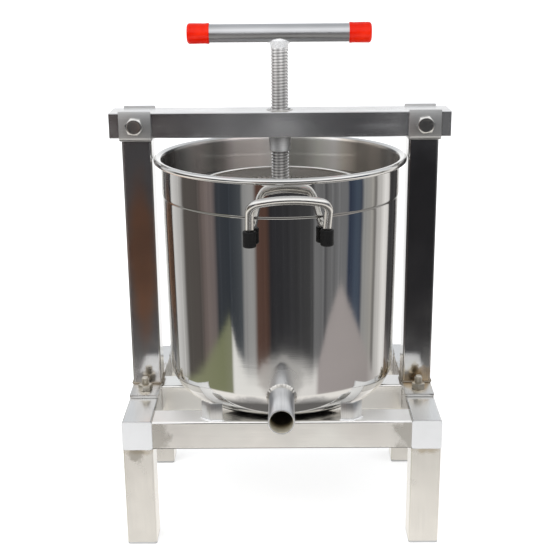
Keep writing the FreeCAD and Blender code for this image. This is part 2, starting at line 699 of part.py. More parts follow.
def bail(label, front):
    hx, out, low = D["bail_half"], D["bail_out"], D["bail_low"]
    rb, rk, rc = D["bail_bend"], D["bail_knee_r"], D["bail_round"]
    turn, lean = math.radians(D["bail_turn"]), math.radians(D["bail_lean"])
    inner = math.sqrt((D["barrel_r"] - 0.2) ** 2 - hx * hx) + D["bail_rod"] * hx / D["barrel_r"]
    facing = FreeCAD.Rotation(V(0, 0, 1), D["bail_set"] + (180 if front else 0))

    def P(x, y, z):
        return V(x, y, z)

    def leaned(u, v):
        """A point of the leaning plane: u sideways, v up along it from the knee's end."""
        return V(u, k1.y + v * math.sin(lean), k1.z + v * math.cos(lean))

    def flip(q):
        return V(-q.x, q.y, q.z)

    # one side, from the wall to the top middle
    a0 = P(-hx, inner, low)
    a1 = P(-hx, out - rb, low)
    a2 = P(-hx, out, low + rb)
    am = P(-hx, out - rb + rb * math.sin(math.pi / 4), low + rb - rb * math.cos(math.pi / 4))
    k0 = P(-hx, out, D["bail_knee"])
    km = P(-hx, out + rk * (1 - math.cos(lean / 2)), k0.z + rk * math.sin(lean / 2))
    k1 = P(-hx, out + rk * (1 - math.cos(lean)), k0.z + rk * math.sin(lean))
    leg = D["bail_leg"]
    b0 = leaned(-hx, leg)
    ux = -hx + rc - rc * math.cos(turn)
    b1 = leaned(ux, leg + rc * math.sin(turn))
    bm = leaned(-hx + rc - rc * math.cos(turn / 2), leg + rc * math.sin(turn / 2))
    # shallow arch between the corners, tangent to both
    rest = math.pi / 2 - turn
    ra = -ux / math.sin(rest)
    cm = leaned(0, leg + rc * math.sin(turn) + ra * (1 - math.cos(rest)))
    side = [("line", a0, a1), ("arc", a1, am, a2), ("line", a2, k0), ("arc", k0, km, k1),
            ("line", k1, b0), ("arc", b0, bm, b1)]
    runs = side + [("arc", b1, cm, flip(b1))]
    runs += [(r[0],) + tuple(flip(q) for q in r[:0:-1]) for r in side[::-1]]
    edges = []
    for r in runs:
        pts = [facing.multVec(q) for q in r[1:]]
        edges.append((Part.LineSegment(*pts) if r[0] == "line" else Part.Arc(*pts)).toShape())
    path = Part.Wire(edges)
    along_end = facing.multVec(a1) - facing.multVec(a0)
    ring_edge = Part.Circle(facing.multVec(a0), along_end.normalize(), D["bail_rod"]).toShape()
    solid = path.makePipeShell([Part.Wire([ring_edge])], True, False)
    want = math.pi * D["bail_rod"] ** 2 * path.Length
    print(label, "rod length", round(path.Length, 1), "arch radius", round(ra, 1), "top", round(cm.z, 2),
          "middle out", round(cm.y, 2), "volume ratio", round(solid.Volume / want, 5))
    if abs(solid.Volume / want - 1) > 0.01:
        raise RuntimeError("the rod's volume is wrong: " + label)
    # the ends are dressed to the barrel's round
    round_off = Part.makeCylinder(D["barrel_r"], 60, V(0, 0, low - 30))
    f = doc.addObject("Part::Feature", label)
    f.Shape = solid.cut(round_off)
    return piece(put(f), label)


bail("front_handle", True)
bail("rear_handle", False)

# rubber boot over the lower bend of each leg, modelled on the leg's own axis
# with its underside at Z 0 and the rod's end leaving it towards +Y
under = D["sleeve_z"] - D["sleeve_len"] / 2
rise, knee = D["bail_low"] - under, D["bail_knee"] - under
rb, rk, lean = D["bail_bend"], D["bail_knee_r"], math.radians(D["bail_lean"])
q = math.sqrt(0.5)
k1 = V(0, -rk * (1 - math.cos(lean)), knee + rk * math.sin(lean))
boot_line = Part.Wire([
    Part.LineSegment(V(0, 20, rise), V(0, rb, rise)).toShape(),
    Part.Arc(V(0, rb, rise), V(0, rb - rb * q, rise + rb - rb * q), V(0, 0, rise + rb)).toShape(),
    Part.LineSegment(V(0, 0, rise + rb), V(0, 0, knee)).toShape(),
    Part.Arc(V(0, 0, knee), V(0, -rk * (1 - math.cos(lean / 2)), knee + rk * math.sin(lean / 2)), k1).toShape(),
    Part.LineSegment(k1, k1 + V(0, -math.sin(lean), math.cos(lean)) * 10).toShape()])
section = Part.Wire([Part.Circle(V(0, 20, rise), V(0, 1, 0), D["bail_rod"] + 0.05).toShape()])
boot_rod = doc.addObject("Part::Feature", "handle_sleeve_rod")
boot_rod.Shape = boot_line.makePipeShell([section], True, False)
body_rod = rod("handle_sleeve_outside", "sleeve_r", "sleeve_len")
doc.recompute()
sf = doc.addObject("Part::Fillet", "handle_sleeve_round")
sf.Base = body_rod
sf.Edges = [(i + 1, 1.0, 1.0) for i, e in enumerate(body_rod.Shape.Edges) if isinstance(e.Curve, Part.Circle)]
sl = doc.addObject("Part::Cut", "handle_sleeve")
sl.Base = sf
sl.Tool = boot_rod
doc.recompute()
spots = []
for sx in (-1, 1):
    for sy in (-1, 1):
        facing = FreeCAD.Rotation(V(0, 0, 1), D["bail_set"])
        at = facing.multVec(V(sx * D["bail_half"], sy * D["bail_out"], 0))
        spots.append(("%.5f" % at.x, "%.5f" % at.y, "sleeve_z-sleeve_len/2",
                      FreeCAD.Rotation(V(0, 0, 1), D["bail_set"] + (0 if sy < 0 else 180))))
group("handle_sleeves", sl, spots)

# ------------------------------------------------------------------- basket

WIRE_LOW = "(%s+barrel_wall+basket_gap+basket_wire)" % FLOOR
MID = "(basket_r-basket_wall_t/2)"
b = new_body("basket_wall")
sk = new_sketch(b, "XY_Plane", "basket_wall_section")
ring(sk, "0", "0", "basket_r")
ring(sk, "0", "0", "basket_r-basket_wall_t")
sk.AttachmentOffset = FreeCAD.Placement(V(0, 0, val(WIRE_LOW + "+basket_wire")), FreeCAD.Rotation())
bind(sk, "AttachmentOffset.Base.z", WIRE_LOW + "+basket_wire")
pad(b, sk, "basket_top-basket_wire-(%s+basket_wire)" % WIRE_LOW, name="basket_wall_pad")
sk = new_sketch(b, "XZ_Plane", "basket_wall_drains")
for k in range(5):
    ring(sk, "0", "basket_floor_z+20+%d" % (42 * k), "perf_r")
before = b.Shape.Volume
dr = pocket(b, sk, "basket_r+6", back=True, name="basket_wall_drill")
pat = b.newObject("PartDesign::PolarPattern", "basket_wall_pattern")
pat.Originals = [dr]
pat.Axis = (origin_item(b, "Z_Axis"), [""])
pat.Angle = 360
pat.Occurrences = 12
b.Tip = pat
doc.recompute()
if b.Shape.Volume > before - 50 * math.pi * D["perf_r"] ** 2:
    raise RuntimeError("basket drains missing")
piece(put(b), "basket_wall")

b = new_body("basket_floor")
sk = new_sketch(b, "XY_Plane", "basket_floor_outline")
ring(sk, "0", "0", "basket_r-basket_wall_t")
pad(b, sk, "basket_wall_t", name="basket_floor_pad")
sk = new_sketch(b, "XY_Plane", "basket_floor_drains")
for k in range(3):
    ring(sk, "22+%d" % (22 * k), "0", "perf_r")
before = b.Shape.Volume
dr = pocket(b, sk, "4", both=True, name="basket_floor_drill")
pat = b.newObject("PartDesign::PolarPattern", "basket_floor_pattern")
pat.Originals = [dr]
pat.Axis = (origin_item(b, "Z_Axis"), [""])
pat.Angle = 360
pat.Occurrences = 8
b.Tip = pat
doc.recompute()
if b.Shape.Volume > before - 20 * math.pi * D["perf_r"] ** 2:
    raise RuntimeError("basket floor drains missing")
piece(put(b, "0", "0", "basket_floor_z"), "basket_floor")

for label, z in (("basket_rim_wire", "basket_top"), ("basket_base_wire", WIRE_LOW)):
    t = doc.addObject("Part::Torus", label)
    bind(t, "Radius1", MID)
    bind(t, "Radius2", "basket_wire")
    piece(put(t, "0", "0", z), label)

# -------------------------------------------------------------- press plate

b = new_body("press_plate")
sk = new_sketch(b, "XY_Plane", "press_plate_outline")
ring(sk, "0", "0", "plate_r")
p = pad(b, sk, "plate_thick", name="press_plate_pad")
dress(b, "Fillet", p, "1.5", lambda e: isinstance(e.Curve, Part.Circle), "press_plate_edge")
piece(put(b, "0", "0", "plate_z"), "press_plate")

b = new_body("press_plate_hub")
sk = new_sketch(b, "XZ_Plane", "hub_section")
outline(sk, [("screw_r+screw_fit", "0"), ("hub_r", "0"), ("hub_r", "hub_high-1"), ("hub_r-1", "hub_high"),
             ("screw_r+screw_fit", "hub_high")])
revolve(b, sk, "hub_turned")
sk = new_sketch(b, "YZ_Plane", "hub_pin_hole")
ring(sk, "0", "(neck_low+neck_high)/2", "pin_r+0.05")
pocket(b, sk, "2*hub_r+4", both=True, name="hub_pin_drill")
piece(put(b, "0", "0", "plate_z+plate_thick"), "press_plate_hub")

# two set screws run in the screw's groove and hold the plate up to it
pin = hex_bolt("hub_set_screw", "pin_r", "pin_af", "pin_head", "hub_r-pin_tip")
group("hub_set_screws", pin, [
    ("hub_r", "0", "plate_z+plate_thick+(neck_low+neck_high)/2", FreeCAD.Rotation(V(0, 1, 0), -90)),
    ("-hub_r", "0", "plate_z+plate_thick+(neck_low+neck_high)/2", FreeCAD.Rotation(V(0, 1, 0), 90))])

# --------------------------------------------------------------- lead screw

b = new_body("lead_screw")
sk = new_sketch(b, "XZ_Plane", "lead_screw_section")
END = "0.05"
outline(sk, [("0", END), ("screw_r-1.2", END), ("screw_r", END + "+1.2"), ("screw_r", "neck_low"),
             ("neck_r", "neck_low"), ("neck_r", "neck_high"), ("screw_r", "neck_high"),
             ("screw_r", "bar_z-plate_z-plate_thick-1"), ("0", "bar_z-plate_z-plate_thick-1")])
revolve(b, sk, "lead_screw_turned")
# the top is cut to the round of the handle tube
sk = new_sketch(b, "YZ_Plane", "lead_screw_top")
ring(sk, "0", "bar_z-plate_z-plate_thick", "bar_r")
pocket(b, sk, "2*screw_r+4", both=True, name="lead_screw_mitre")
piece(put(b, "0", "0", "plate_z+plate_thick"), "lead_screw")

b = new_body("handle_bar")
sk = new_sketch(b, "YZ_Plane", "handle_bar_section")
ring(sk, "0", "0", "bar_r")
ring(sk, "0", "0", "bar_r-bar_wall")
pad(b, sk, "2*bar_half", both=True, name="handle_bar_pad")
piece(put(b, "0", "0", "bar_z"), "handle_bar")

# end cap along +Z, its mouth at Z 0
b = new_body("handle_end_cap")
sk = new_sketch(b, "XZ_Plane", "handle_end_cap_section")
outline(sk, [("bar_r+0.05", "0"), ("grip_r", "0"), ("grip_r", "grip_len"), ("0", "grip_len"),
             ("0", "grip_len-grip_end"), ("bar_r+0.05", "grip_len-grip_end")])
p = revolve(b, sk, "handle_end_cap_turned")
p = dress(b, "Fillet", p, "2.2", lambda e: circle_at(e, D["grip_r"], D["grip_len"]), "handle_end_cap_round")
dress(b, "Fillet", p, "0.5", lambda e: circle_at(e, D["grip_r"], 0), "handle_end_cap_lip")
group("handle_end_caps", b, [
    ("bar_half+grip_end-grip_len", "0", "bar_z", FreeCAD.Rotation(V(0, 1, 0), 90)),
    ("-(bar_half+grip_end-grip_len)", "0", "bar_z", FreeCAD.Rotation(V(0, 1, 0), -90))])

# ------------------------------------------------------------------ writing

doc.recompute()
bad = []
for o in doc.Objects:
    if any(st in o.State for st in ("Invalid", "Error")):
        bad.append("%s: %s" % (o.Label, o.State))
for o in parts:
    sh = o.Shape
    if sh.isNull() or not sh.isValid() or not sh.Solids:
        bad.append("%s: null, invalid or not solid" % o.Label)
labels = [o.Label for o in parts]
if len(set(labels)) != len(labels):
    bad.append("two pieces share a label")
if bad:
    raise RuntimeError("; ".join(bad))

os.makedirs("parts", exist_ok=True)
for old in os.listdir("parts"):
    if old.endswith(".step") and old[:-5] not in labels:
        os.remove(os.path.join("parts", old))
total = FreeCAD.BoundBox()
for o in parts:
    o.Shape.exportStep("parts/%s.step" % o.Label)
    bb = o.Shape.BoundBox
    total.add(bb)
    print("%-20s solids %d  x %.1f..%.1f  y %.1f..%.1f  z %.1f..%.1f" % (
        o.Label, len(o.Shape.Solids), bb.XMin, bb.XMax, bb.YMin, bb.YMax, bb.ZMin, bb.ZMax))
print("nodes", len(parts), "box", total)
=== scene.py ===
import math
import random

import bmesh
import bpy
from mathutils import Matrix, Vector, noise


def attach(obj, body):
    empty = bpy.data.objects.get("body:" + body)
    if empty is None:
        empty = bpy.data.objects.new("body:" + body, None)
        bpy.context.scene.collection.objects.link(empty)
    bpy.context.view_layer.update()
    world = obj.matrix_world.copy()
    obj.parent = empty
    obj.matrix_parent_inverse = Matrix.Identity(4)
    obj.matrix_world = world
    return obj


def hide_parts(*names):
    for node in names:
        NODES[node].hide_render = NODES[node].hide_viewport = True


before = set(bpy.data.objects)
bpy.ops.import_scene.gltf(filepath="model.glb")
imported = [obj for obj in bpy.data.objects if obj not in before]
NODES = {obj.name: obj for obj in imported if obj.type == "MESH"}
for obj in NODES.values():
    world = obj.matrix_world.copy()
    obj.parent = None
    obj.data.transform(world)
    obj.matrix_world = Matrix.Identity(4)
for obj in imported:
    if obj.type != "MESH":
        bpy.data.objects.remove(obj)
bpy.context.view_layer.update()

MM = 0.001
AY = 0.012335          # the screw axis stands this far behind the middle of the footprint
TAU = 2 * math.pi
SCENE = bpy.context.scene


# ------------------------------------------------------------------ meshes
# Every list of points is in millimetres, x and y from the screw axis, z from
# the floor, and becomes metres in the model's own frame in solid().

def shade(me, deg):
    bm = bmesh.new()
    bm.from_mesh(me)
    bmesh.ops.recalc_face_normals(bm, faces=bm.faces)
    limit = math.radians(deg)
    for f in bm.faces:
        f.smooth = True
    for e in bm.edges:
        e.smooth = not (len(e.link_faces) == 2 and e.calc_face_angle() > limit)
    bm.to_mesh(me)
    bm.free()


def solid(name, verts, faces, body, mat, stands_for=(), deg=32):
    me = bpy.data.meshes.new(name)
    me.from_pydata([(v[0] * MM, v[1] * MM + AY, v[2] * MM) for v in verts], [], faces)
    me.validate()
    shade(me, deg)
    ob = bpy.data.objects.new(name, me)
    SCENE.collection.objects.link(ob)
    me.materials.append(mat)
    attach(ob, body)
    if stands_for:
        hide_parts(*stands_for)
    return ob


class Heap:
    """Collects several closed shapes into one mesh."""

    def __init__(self):
        self.v, self.f = [], []

    def add(self, shape, move=None):
        verts, faces = shape
        n = len(self.v)
        self.v += [tuple(move @ Vector(p)) if move else tuple(p) for p in verts]
        self.f += [[i + n for i in f] for f in faces]
        return self


def place(x, y, z, turn=None):
    m = Matrix.Translation((x, y, z))
    return m @ turn if turn else m


def lathe(profile, segs, loop=False):
    """Turns (r, z) points round +Z. An end at r 0 closes on the axis; loop joins the last point to the first."""
    verts, rows = [], []
    for r, z in profile:
        if r < 1e-6:
            rows.append([len(verts)])
            verts.append((0, 0, z))
        else:
            rows.append(list(range(len(verts), len(verts) + segs)))
            verts += [(r * math.cos(TAU * i / segs), r * math.sin(TAU * i / segs), z) for i in range(segs)]
    faces = []
    pairs = list(zip(rows, rows[1:])) + ([(rows[-1], rows[0])] if loop else [])
    for a, b in pairs:
        if len(a) == 1 and len(b) == 1:
            continue
        for i in range(segs):
            j = (i + 1) % segs
            if len(a) == 1:
                faces.append([a[0], b[i], b[j]])
            elif len(b) == 1:
                faces.append([a[i], a[j], b[0]])
            else:
                faces.append([a[i], a[j], b[j], b[i]])
    return verts, faces


def arc(cx, cz, r, a0, a1, n):
    return [(cx + r * math.cos(math.radians(a0 + (a1 - a0) * k / n)),
             cz + r * math.sin(math.radians(a0 + (a1 - a0) * k / n))) for k in range(n + 1)]


def frames(pts, closed):
    """A tangent, side and up vector at each point, carried along without twist."""
    n = len(pts)
    tan = []
    for i in range(n):
        a = pts[(i - 1) % n] if closed or i else pts[0]
        b = pts[(i + 1) % n] if closed or i < n - 1 else pts[-1]
        tan.append((b - a).normalized())
    up = Vector((0, 0, 1)) if abs(tan[0].z) < 0.9 else Vector((0, 1, 0))
    side = tan[0].cross(up).normalized()
    out = []
    for t in tan:
        side = (side - t * side.dot(t)).normalized()
        out.append((t, side, side.cross(t)))
    return out


def sweep(pts, radius, sides, closed=False, squash=1.0, round_ends=False):
    """A round bar along pts. radius is one number or one per point."""
    pts = [Vector(p) for p in pts]
    n = len(pts)
    rad = radius if isinstance(radius, (list, tuple)) else [radius] * n
    fr = frames(pts, closed)
    verts, faces = [], []
    rows = []

    def row(c, r, f):
        rows.append(len(verts))
        for k in range(sides):
            a = TAU * k / sides
            verts.append(tuple(c + f[1] * (r * math.cos(a)) + f[2] * (r * squash * math.sin(a))))
    if round_ends and not closed:
        for u in (80, 60, 35, 15):
            row(pts[0] - fr[0][0] * rad[0] * math.sin(math.radians(u)), rad[0] * math.cos(math.radians(u)), fr[0])
    for i in range(n):
        row(pts[i], rad[i], fr[i])
    if round_ends and not closed:
        for u in (15, 35, 60, 80):
            row(pts[-1] + fr[-1][0] * rad[-1] * math.sin(math.radians(u)), rad[-1] * math.cos(math.radians(u)), fr[-1])
    m = len(rows)
    for i in range(m if closed else m - 1):
        a, b = rows[i], rows[(i + 1) % m]
        for k in range(sides):
            j = (k + 1) % sides
            faces.append([a + k, a + j, b + j, b + k])
    if not closed:
        faces.append(list(range(rows[0], rows[0] + sides)))
        faces.append(list(range(rows[-1], rows[-1] + sides)))
    return verts, faces


def spread(pts, step, closed=False):
    """The same line with points every step millimetres."""
    pts = [Vector(p) for p in pts]
    if closed:
        pts = pts + [pts[0]]
    lens = [0.0]
    for a, b in zip(pts, pts[1:]):
        lens.append(lens[-1] + (b - a).length)
    n = max(3, int(lens[-1] / step))
    out, k = [], 0
    for i in range(n if closed else n + 1):
        s = lens[-1] * i / n
        while k < len(pts) - 2 and lens[k + 1] < s:
            k += 1
        t = (s - lens[k]) / max(lens[k + 1] - lens[k], 1e-9)
        out.append(pts[k].lerp(pts[k + 1], t))
    return out


def weld(pts, radius, seed, closed=False, squash=1.0, ripple=1.7, lump=0.22, sides=10, step=0.45, wander=0.15):
    """A run of weld metal: overlapping ripples, uneven in height, that thins out at its ends."""
    line = spread(pts, step, closed)
    n = len(line)
    rng = random.Random(seed)
    phase = rng.random() * 10
    total = n * step
    rad, out = [], []
    for i, p in enumerate(line):
        s = i * step
        # whole numbers of waves keep a closed run's ends together
        waves = max(1, round(total / ripple)) if closed else total / ripple
        w = (s / total * waves + 0.0) % 1.0
        crest = 1 - abs(2 * w - 1) ** 1.6
        a = TAU * i / n
        big = noise.noise(Vector((math.cos(a) * 2.2 + phase, math.sin(a) * 2.2, seed))) if closed else \
            noise.noise(Vector((s * 0.11 + phase, 0.0, seed)))
        r = radius * (0.86 + lump * (crest - 0.4) + 0.35 * big)
        if not closed:
            r *= min(1.0, 0.35 + min(i, n - 1 - i) * step / (radius * 2.2))
        rad.append(r)
        d = Vector((noise.noise(Vector((s * 0.3, phase, 1.0))), noise.noise(Vector((s * 0.3, phase, 5.0))),
                    noise.noise(Vector((s * 0.3, phase, 9.0))))) * radius * wander
        out.append(p + (d if not closed else d * 0.0))
    return sweep(out, rad, sides, closed, squash, round_ends=not closed)


def prism(outline, low, high, bevel=0.4, segs=2):
    """A flat outline raised from z low to z high with its edges broken."""
    bm = bmesh.new()
    ring = [bm.verts.new((x, y, low)) for x, y in outline]
    f = bm.faces.new(ring)
    top = bmesh.ops.extrude_face_region(bm, geom=[f])
    bmesh.ops.translate(bm, vec=(0, 0, high - low), verts=[g for g in top["geom"] if isinstance(g, bmesh.types.BMVert)])
    bmesh.ops.recalc_face_normals(bm, faces=bm.faces)
    if bevel > 0:
        sharp = [e for e in bm.edges if len(e.link_faces) == 2 and e.calc_face_angle() > math.radians(40)]
        bmesh.ops.bevel(bm, geom=sharp, offset=bevel, offset_type="OFFSET", segments=segs, profile=0.5,
                        affect="EDGES", clamp_overlap=True)
    bm.verts.ensure_lookup_table()
    bm.verts.index_update()
    verts = [tuple(v.co) for v in bm.verts]
    faces = [[v.index for v in f.verts] for f in bm.faces]
    bm.free()
    return verts, faces


def round_square(half_x, half_y, r, n=5):
    out = []
    for cx, cy, a in ((half_x - r, half_y - r, 0), (-half_x + r, half_y - r, 90),
                      (-half_x + r, -half_y + r, 180), (half_x - r, -half_y + r, 270)):
        out += arc(cx, cy, r, a, a + 90, n)
    return out


def hex_block(af, low, high, chamfer_top=True, chamfer_low=False, dish=0.0, turn=0.0, per=6, face_r=None):
    """A bolt head or a nut: flats, and a 30 degree chamfer cut by a cone. dish sinks the middle of the top."""
    a = af / 2
    r0 = a * 0.93
    verts, faces = [], []
    n = 6 * per

    def out_r(phi):
        return a / math.cos((phi + math.pi / 6) % (math.pi / 3) - math.pi / 6)

    phis = [TAU * i / n + math.radians(turn) for i in range(n)]
    rs = [out_r(TAU * i / n) for i in range(n)]

    def ring(radii, zs):
        base = len(verts)
        for p, r, z in zip(phis, radii, zs):
            verts.append((r * math.cos(p), r * math.sin(p), z))
        return base

    slope = math.tan(math.radians(30))
    cut = [max(0.0, (r - r0) * slope) for r in rs]
    lows = [low + (c if chamfer_low else 0) for c in cut]
    highs = [high - (c if chamfer_top else 0) for c in cut]
    rows = []
    rows.append(ring([r0] * n if chamfer_low else [r * 0.999 for r in rs], [low] * n))
    rows.append(ring(rs, lows))
    rows.append(ring(rs, highs))
    rows.append(ring([r0] * n, [high] * n))
    if dish:
        rows.append(ring([r0 * 0.80] * n, [high] * n))
        rows.append(ring([r0 * 0.70] * n, [high - dish * 0.75] * n))
        rows.append(ring([r0 * 0.45] * n, [high - dish] * n))
    for p, q in zip(rows, rows[1:]):
        for i in range(n):
            j = (i + 1) % n
            faces.append([p + i, p + j, q + j, q + i])
    faces.append([rows[0] + i for i in range(n)])
    faces.append([rows[-1] + i for i in range(n)])
    return verts, faces


def thread(core, crest, pitch, low, high, segs=40, root=0.62, top=0.16, hand=1):
    """A right-hand ridge on a round bar: a closed strip that runs in and out at both ends."""
    turns = (high - low) / pitch
    n = int(turns * segs)
    verts, faces = [], []
    sink = core - 0.25
    for i in range(n + 1):
        a = TAU * i / segs * hand
        z = low + pitch * i / segs
        grow = min(1.0, i / (segs * 0.8), (n - i) / (segs * 0.8))
        rc = core + 0.02 + (crest - core - 0.02) * grow
        mid = (core + rc) / 2
        for r, dz in ((sink, -root / 2), (mid, -(root + top) / 4), (rc, -top / 2), (rc, top / 2),
                      (mid, (root + top) / 4), (sink, root / 2)):
            verts.append((r * math.cos(a), r * math.sin(a), z + dz * pitch))
    for i in range(n):
        for k in range(6):
            j = (k + 1) % 6
            faces.append([6 * i + k, 6 * i + j, 6 * i + 6 + j, 6 * i + 6 + k])
    faces.append([0, 1, 2, 3, 4, 5])
    faces.append([6 * n + k for k in range(6)])
    return verts, faces


# --------------------------------------------------------------- materials

def node(nt, kind, ins=None, **attrs):
    n = nt.nodes.new(kind)
    for k, v in attrs.items():
        setattr(n, k, v)
    for k, v in (ins or {}).items():
        s = n.inputs[k]
        if isinstance(v, bpy.types.NodeSocket):
            nt.links.new(v, s)
        else:
            s.default_value = v
    return n


def calc(nt, op, a, b=None, c=None, clamp=False):
    ins = {0: a}
    if b is not None:
        ins[1] = b
    if c is not None:
        ins[2] = c
    return node(nt, "ShaderNodeMath", ins, operation=op, use_clamp=clamp).outputs[0]


def vec(nt, op, a, b=None):
    ins = {0: a}
    if b is not None:
        ins[1] = b
    n = node(nt, "ShaderNodeVectorMath", ins, operation=op)
    return n.outputs["Value"] if op in ("LENGTH", "DISTANCE", "DOT_PRODUCT") else n.outputs["Vector"]


def blend(nt, fac, a, b, kind="MIX"):
    n = node(nt, "ShaderNodeMix", None, data_type="RGBA", blend_type=kind)
    for i, v in ((0, fac), (6, a), (7, b)):
        if isinstance(v, bpy.types.NodeSocket):
            nt.links.new(v, n.inputs[i])
        else:
            n.inputs[i].default_value = v if i == 0 else (v[0], v[1], v[2], 1.0)
    return n.outputs[2]


def span(nt, v, a, b, lo=0.0, hi=1.0, smooth=True):
    return node(nt, "ShaderNodeMapRange", {"Value": v, "From Min": a, "From Max": b, "To Min": lo, "To Max": hi},
                interpolation_type="SMOOTHSTEP" if smooth else "LINEAR").outputs["Result"]


def cloud(nt, pos, scale, detail=2.0, rough=0.5, distort=0.0):
    return node(nt, "ShaderNodeTexNoise", {"Vector": pos, "Scale": scale, "Detail": detail, "Roughness": rough,
                                           "Distortion": distort}).outputs["Fac"]


def ramp(nt, v, stops, linear=True):
    n = node(nt, "ShaderNodeValToRGB", {"Fac": v})
    cr = n.color_ramp
    cr.interpolation = "LINEAR" if linear else "CONSTANT"
    while len(cr.elements) > 1:
        cr.elements.remove(cr.elements[0])
    for i, (p, c) in enumerate(stops):
        e = cr.elements[0] if i == 0 else cr.elements.new(p)
        e.position = p
        e.color = (c[0], c[1], c[2], 1.0) if isinstance(c, (tuple, list)) else (c, c, c, 1.0)
    return n.outputs["Color"]


def start(name):
    mat = bpy.data.materials.new(name)
    mat.use_nodes = True
    nt = mat.node_tree
    nt.nodes.clear()
    out = nt.nodes.new("ShaderNodeOutputMaterial")
    bsdf = nt.nodes.new("ShaderNodeBsdfPrincipled")
    nt.links.new(bsdf.outputs[0], out.inputs[0])
    pos = nt.nodes.new("ShaderNodeTexCoord").outputs["Object"]
    return mat, nt, bsdf, pos


# the pot's inside, in degrees round from the back: painted shade and reflection, how light it is and its cast
PLAIN, ROSE, MOSS, EARTH = (1.0, 1.0, 1.0), (1.0, 0.94, 0.93), (0.97, 0.98, 0.94), (1.0, 0.93, 0.84)
INSIDE_PAINTED_LIGHT = [(-180, 0.50, PLAIN), (-104, 0.40, PLAIN), (-84, 0.03, PLAIN), (-71, 0.05, PLAIN), (-60, 0.30, PLAIN),
          (-48, 0.46, ROSE), (-38, 0.25, MOSS), (-32, 0.34, ROSE), (-25, 0.78, ROSE), (-11, 0.96, ROSE),
          (-2, 0.82, PLAIN), (5, 0.40, MOSS), (13, 0.46, MOSS), (21, 0.80, MOSS), (30, 0.98, PLAIN), (36, 0.78, EARTH),
          (45, 0.34, EARTH), (53, 0.46, EARTH), (60, 0.44, EARTH), (76, 0.26, PLAIN), (100, 0.40, PLAIN),
          (180, 0.50, PLAIN)]

GRAIN = {"x": (22, 900, 900), "y": (900, 22, 900), "z": (900, 900, 22), "all": (420, 420, 420)}


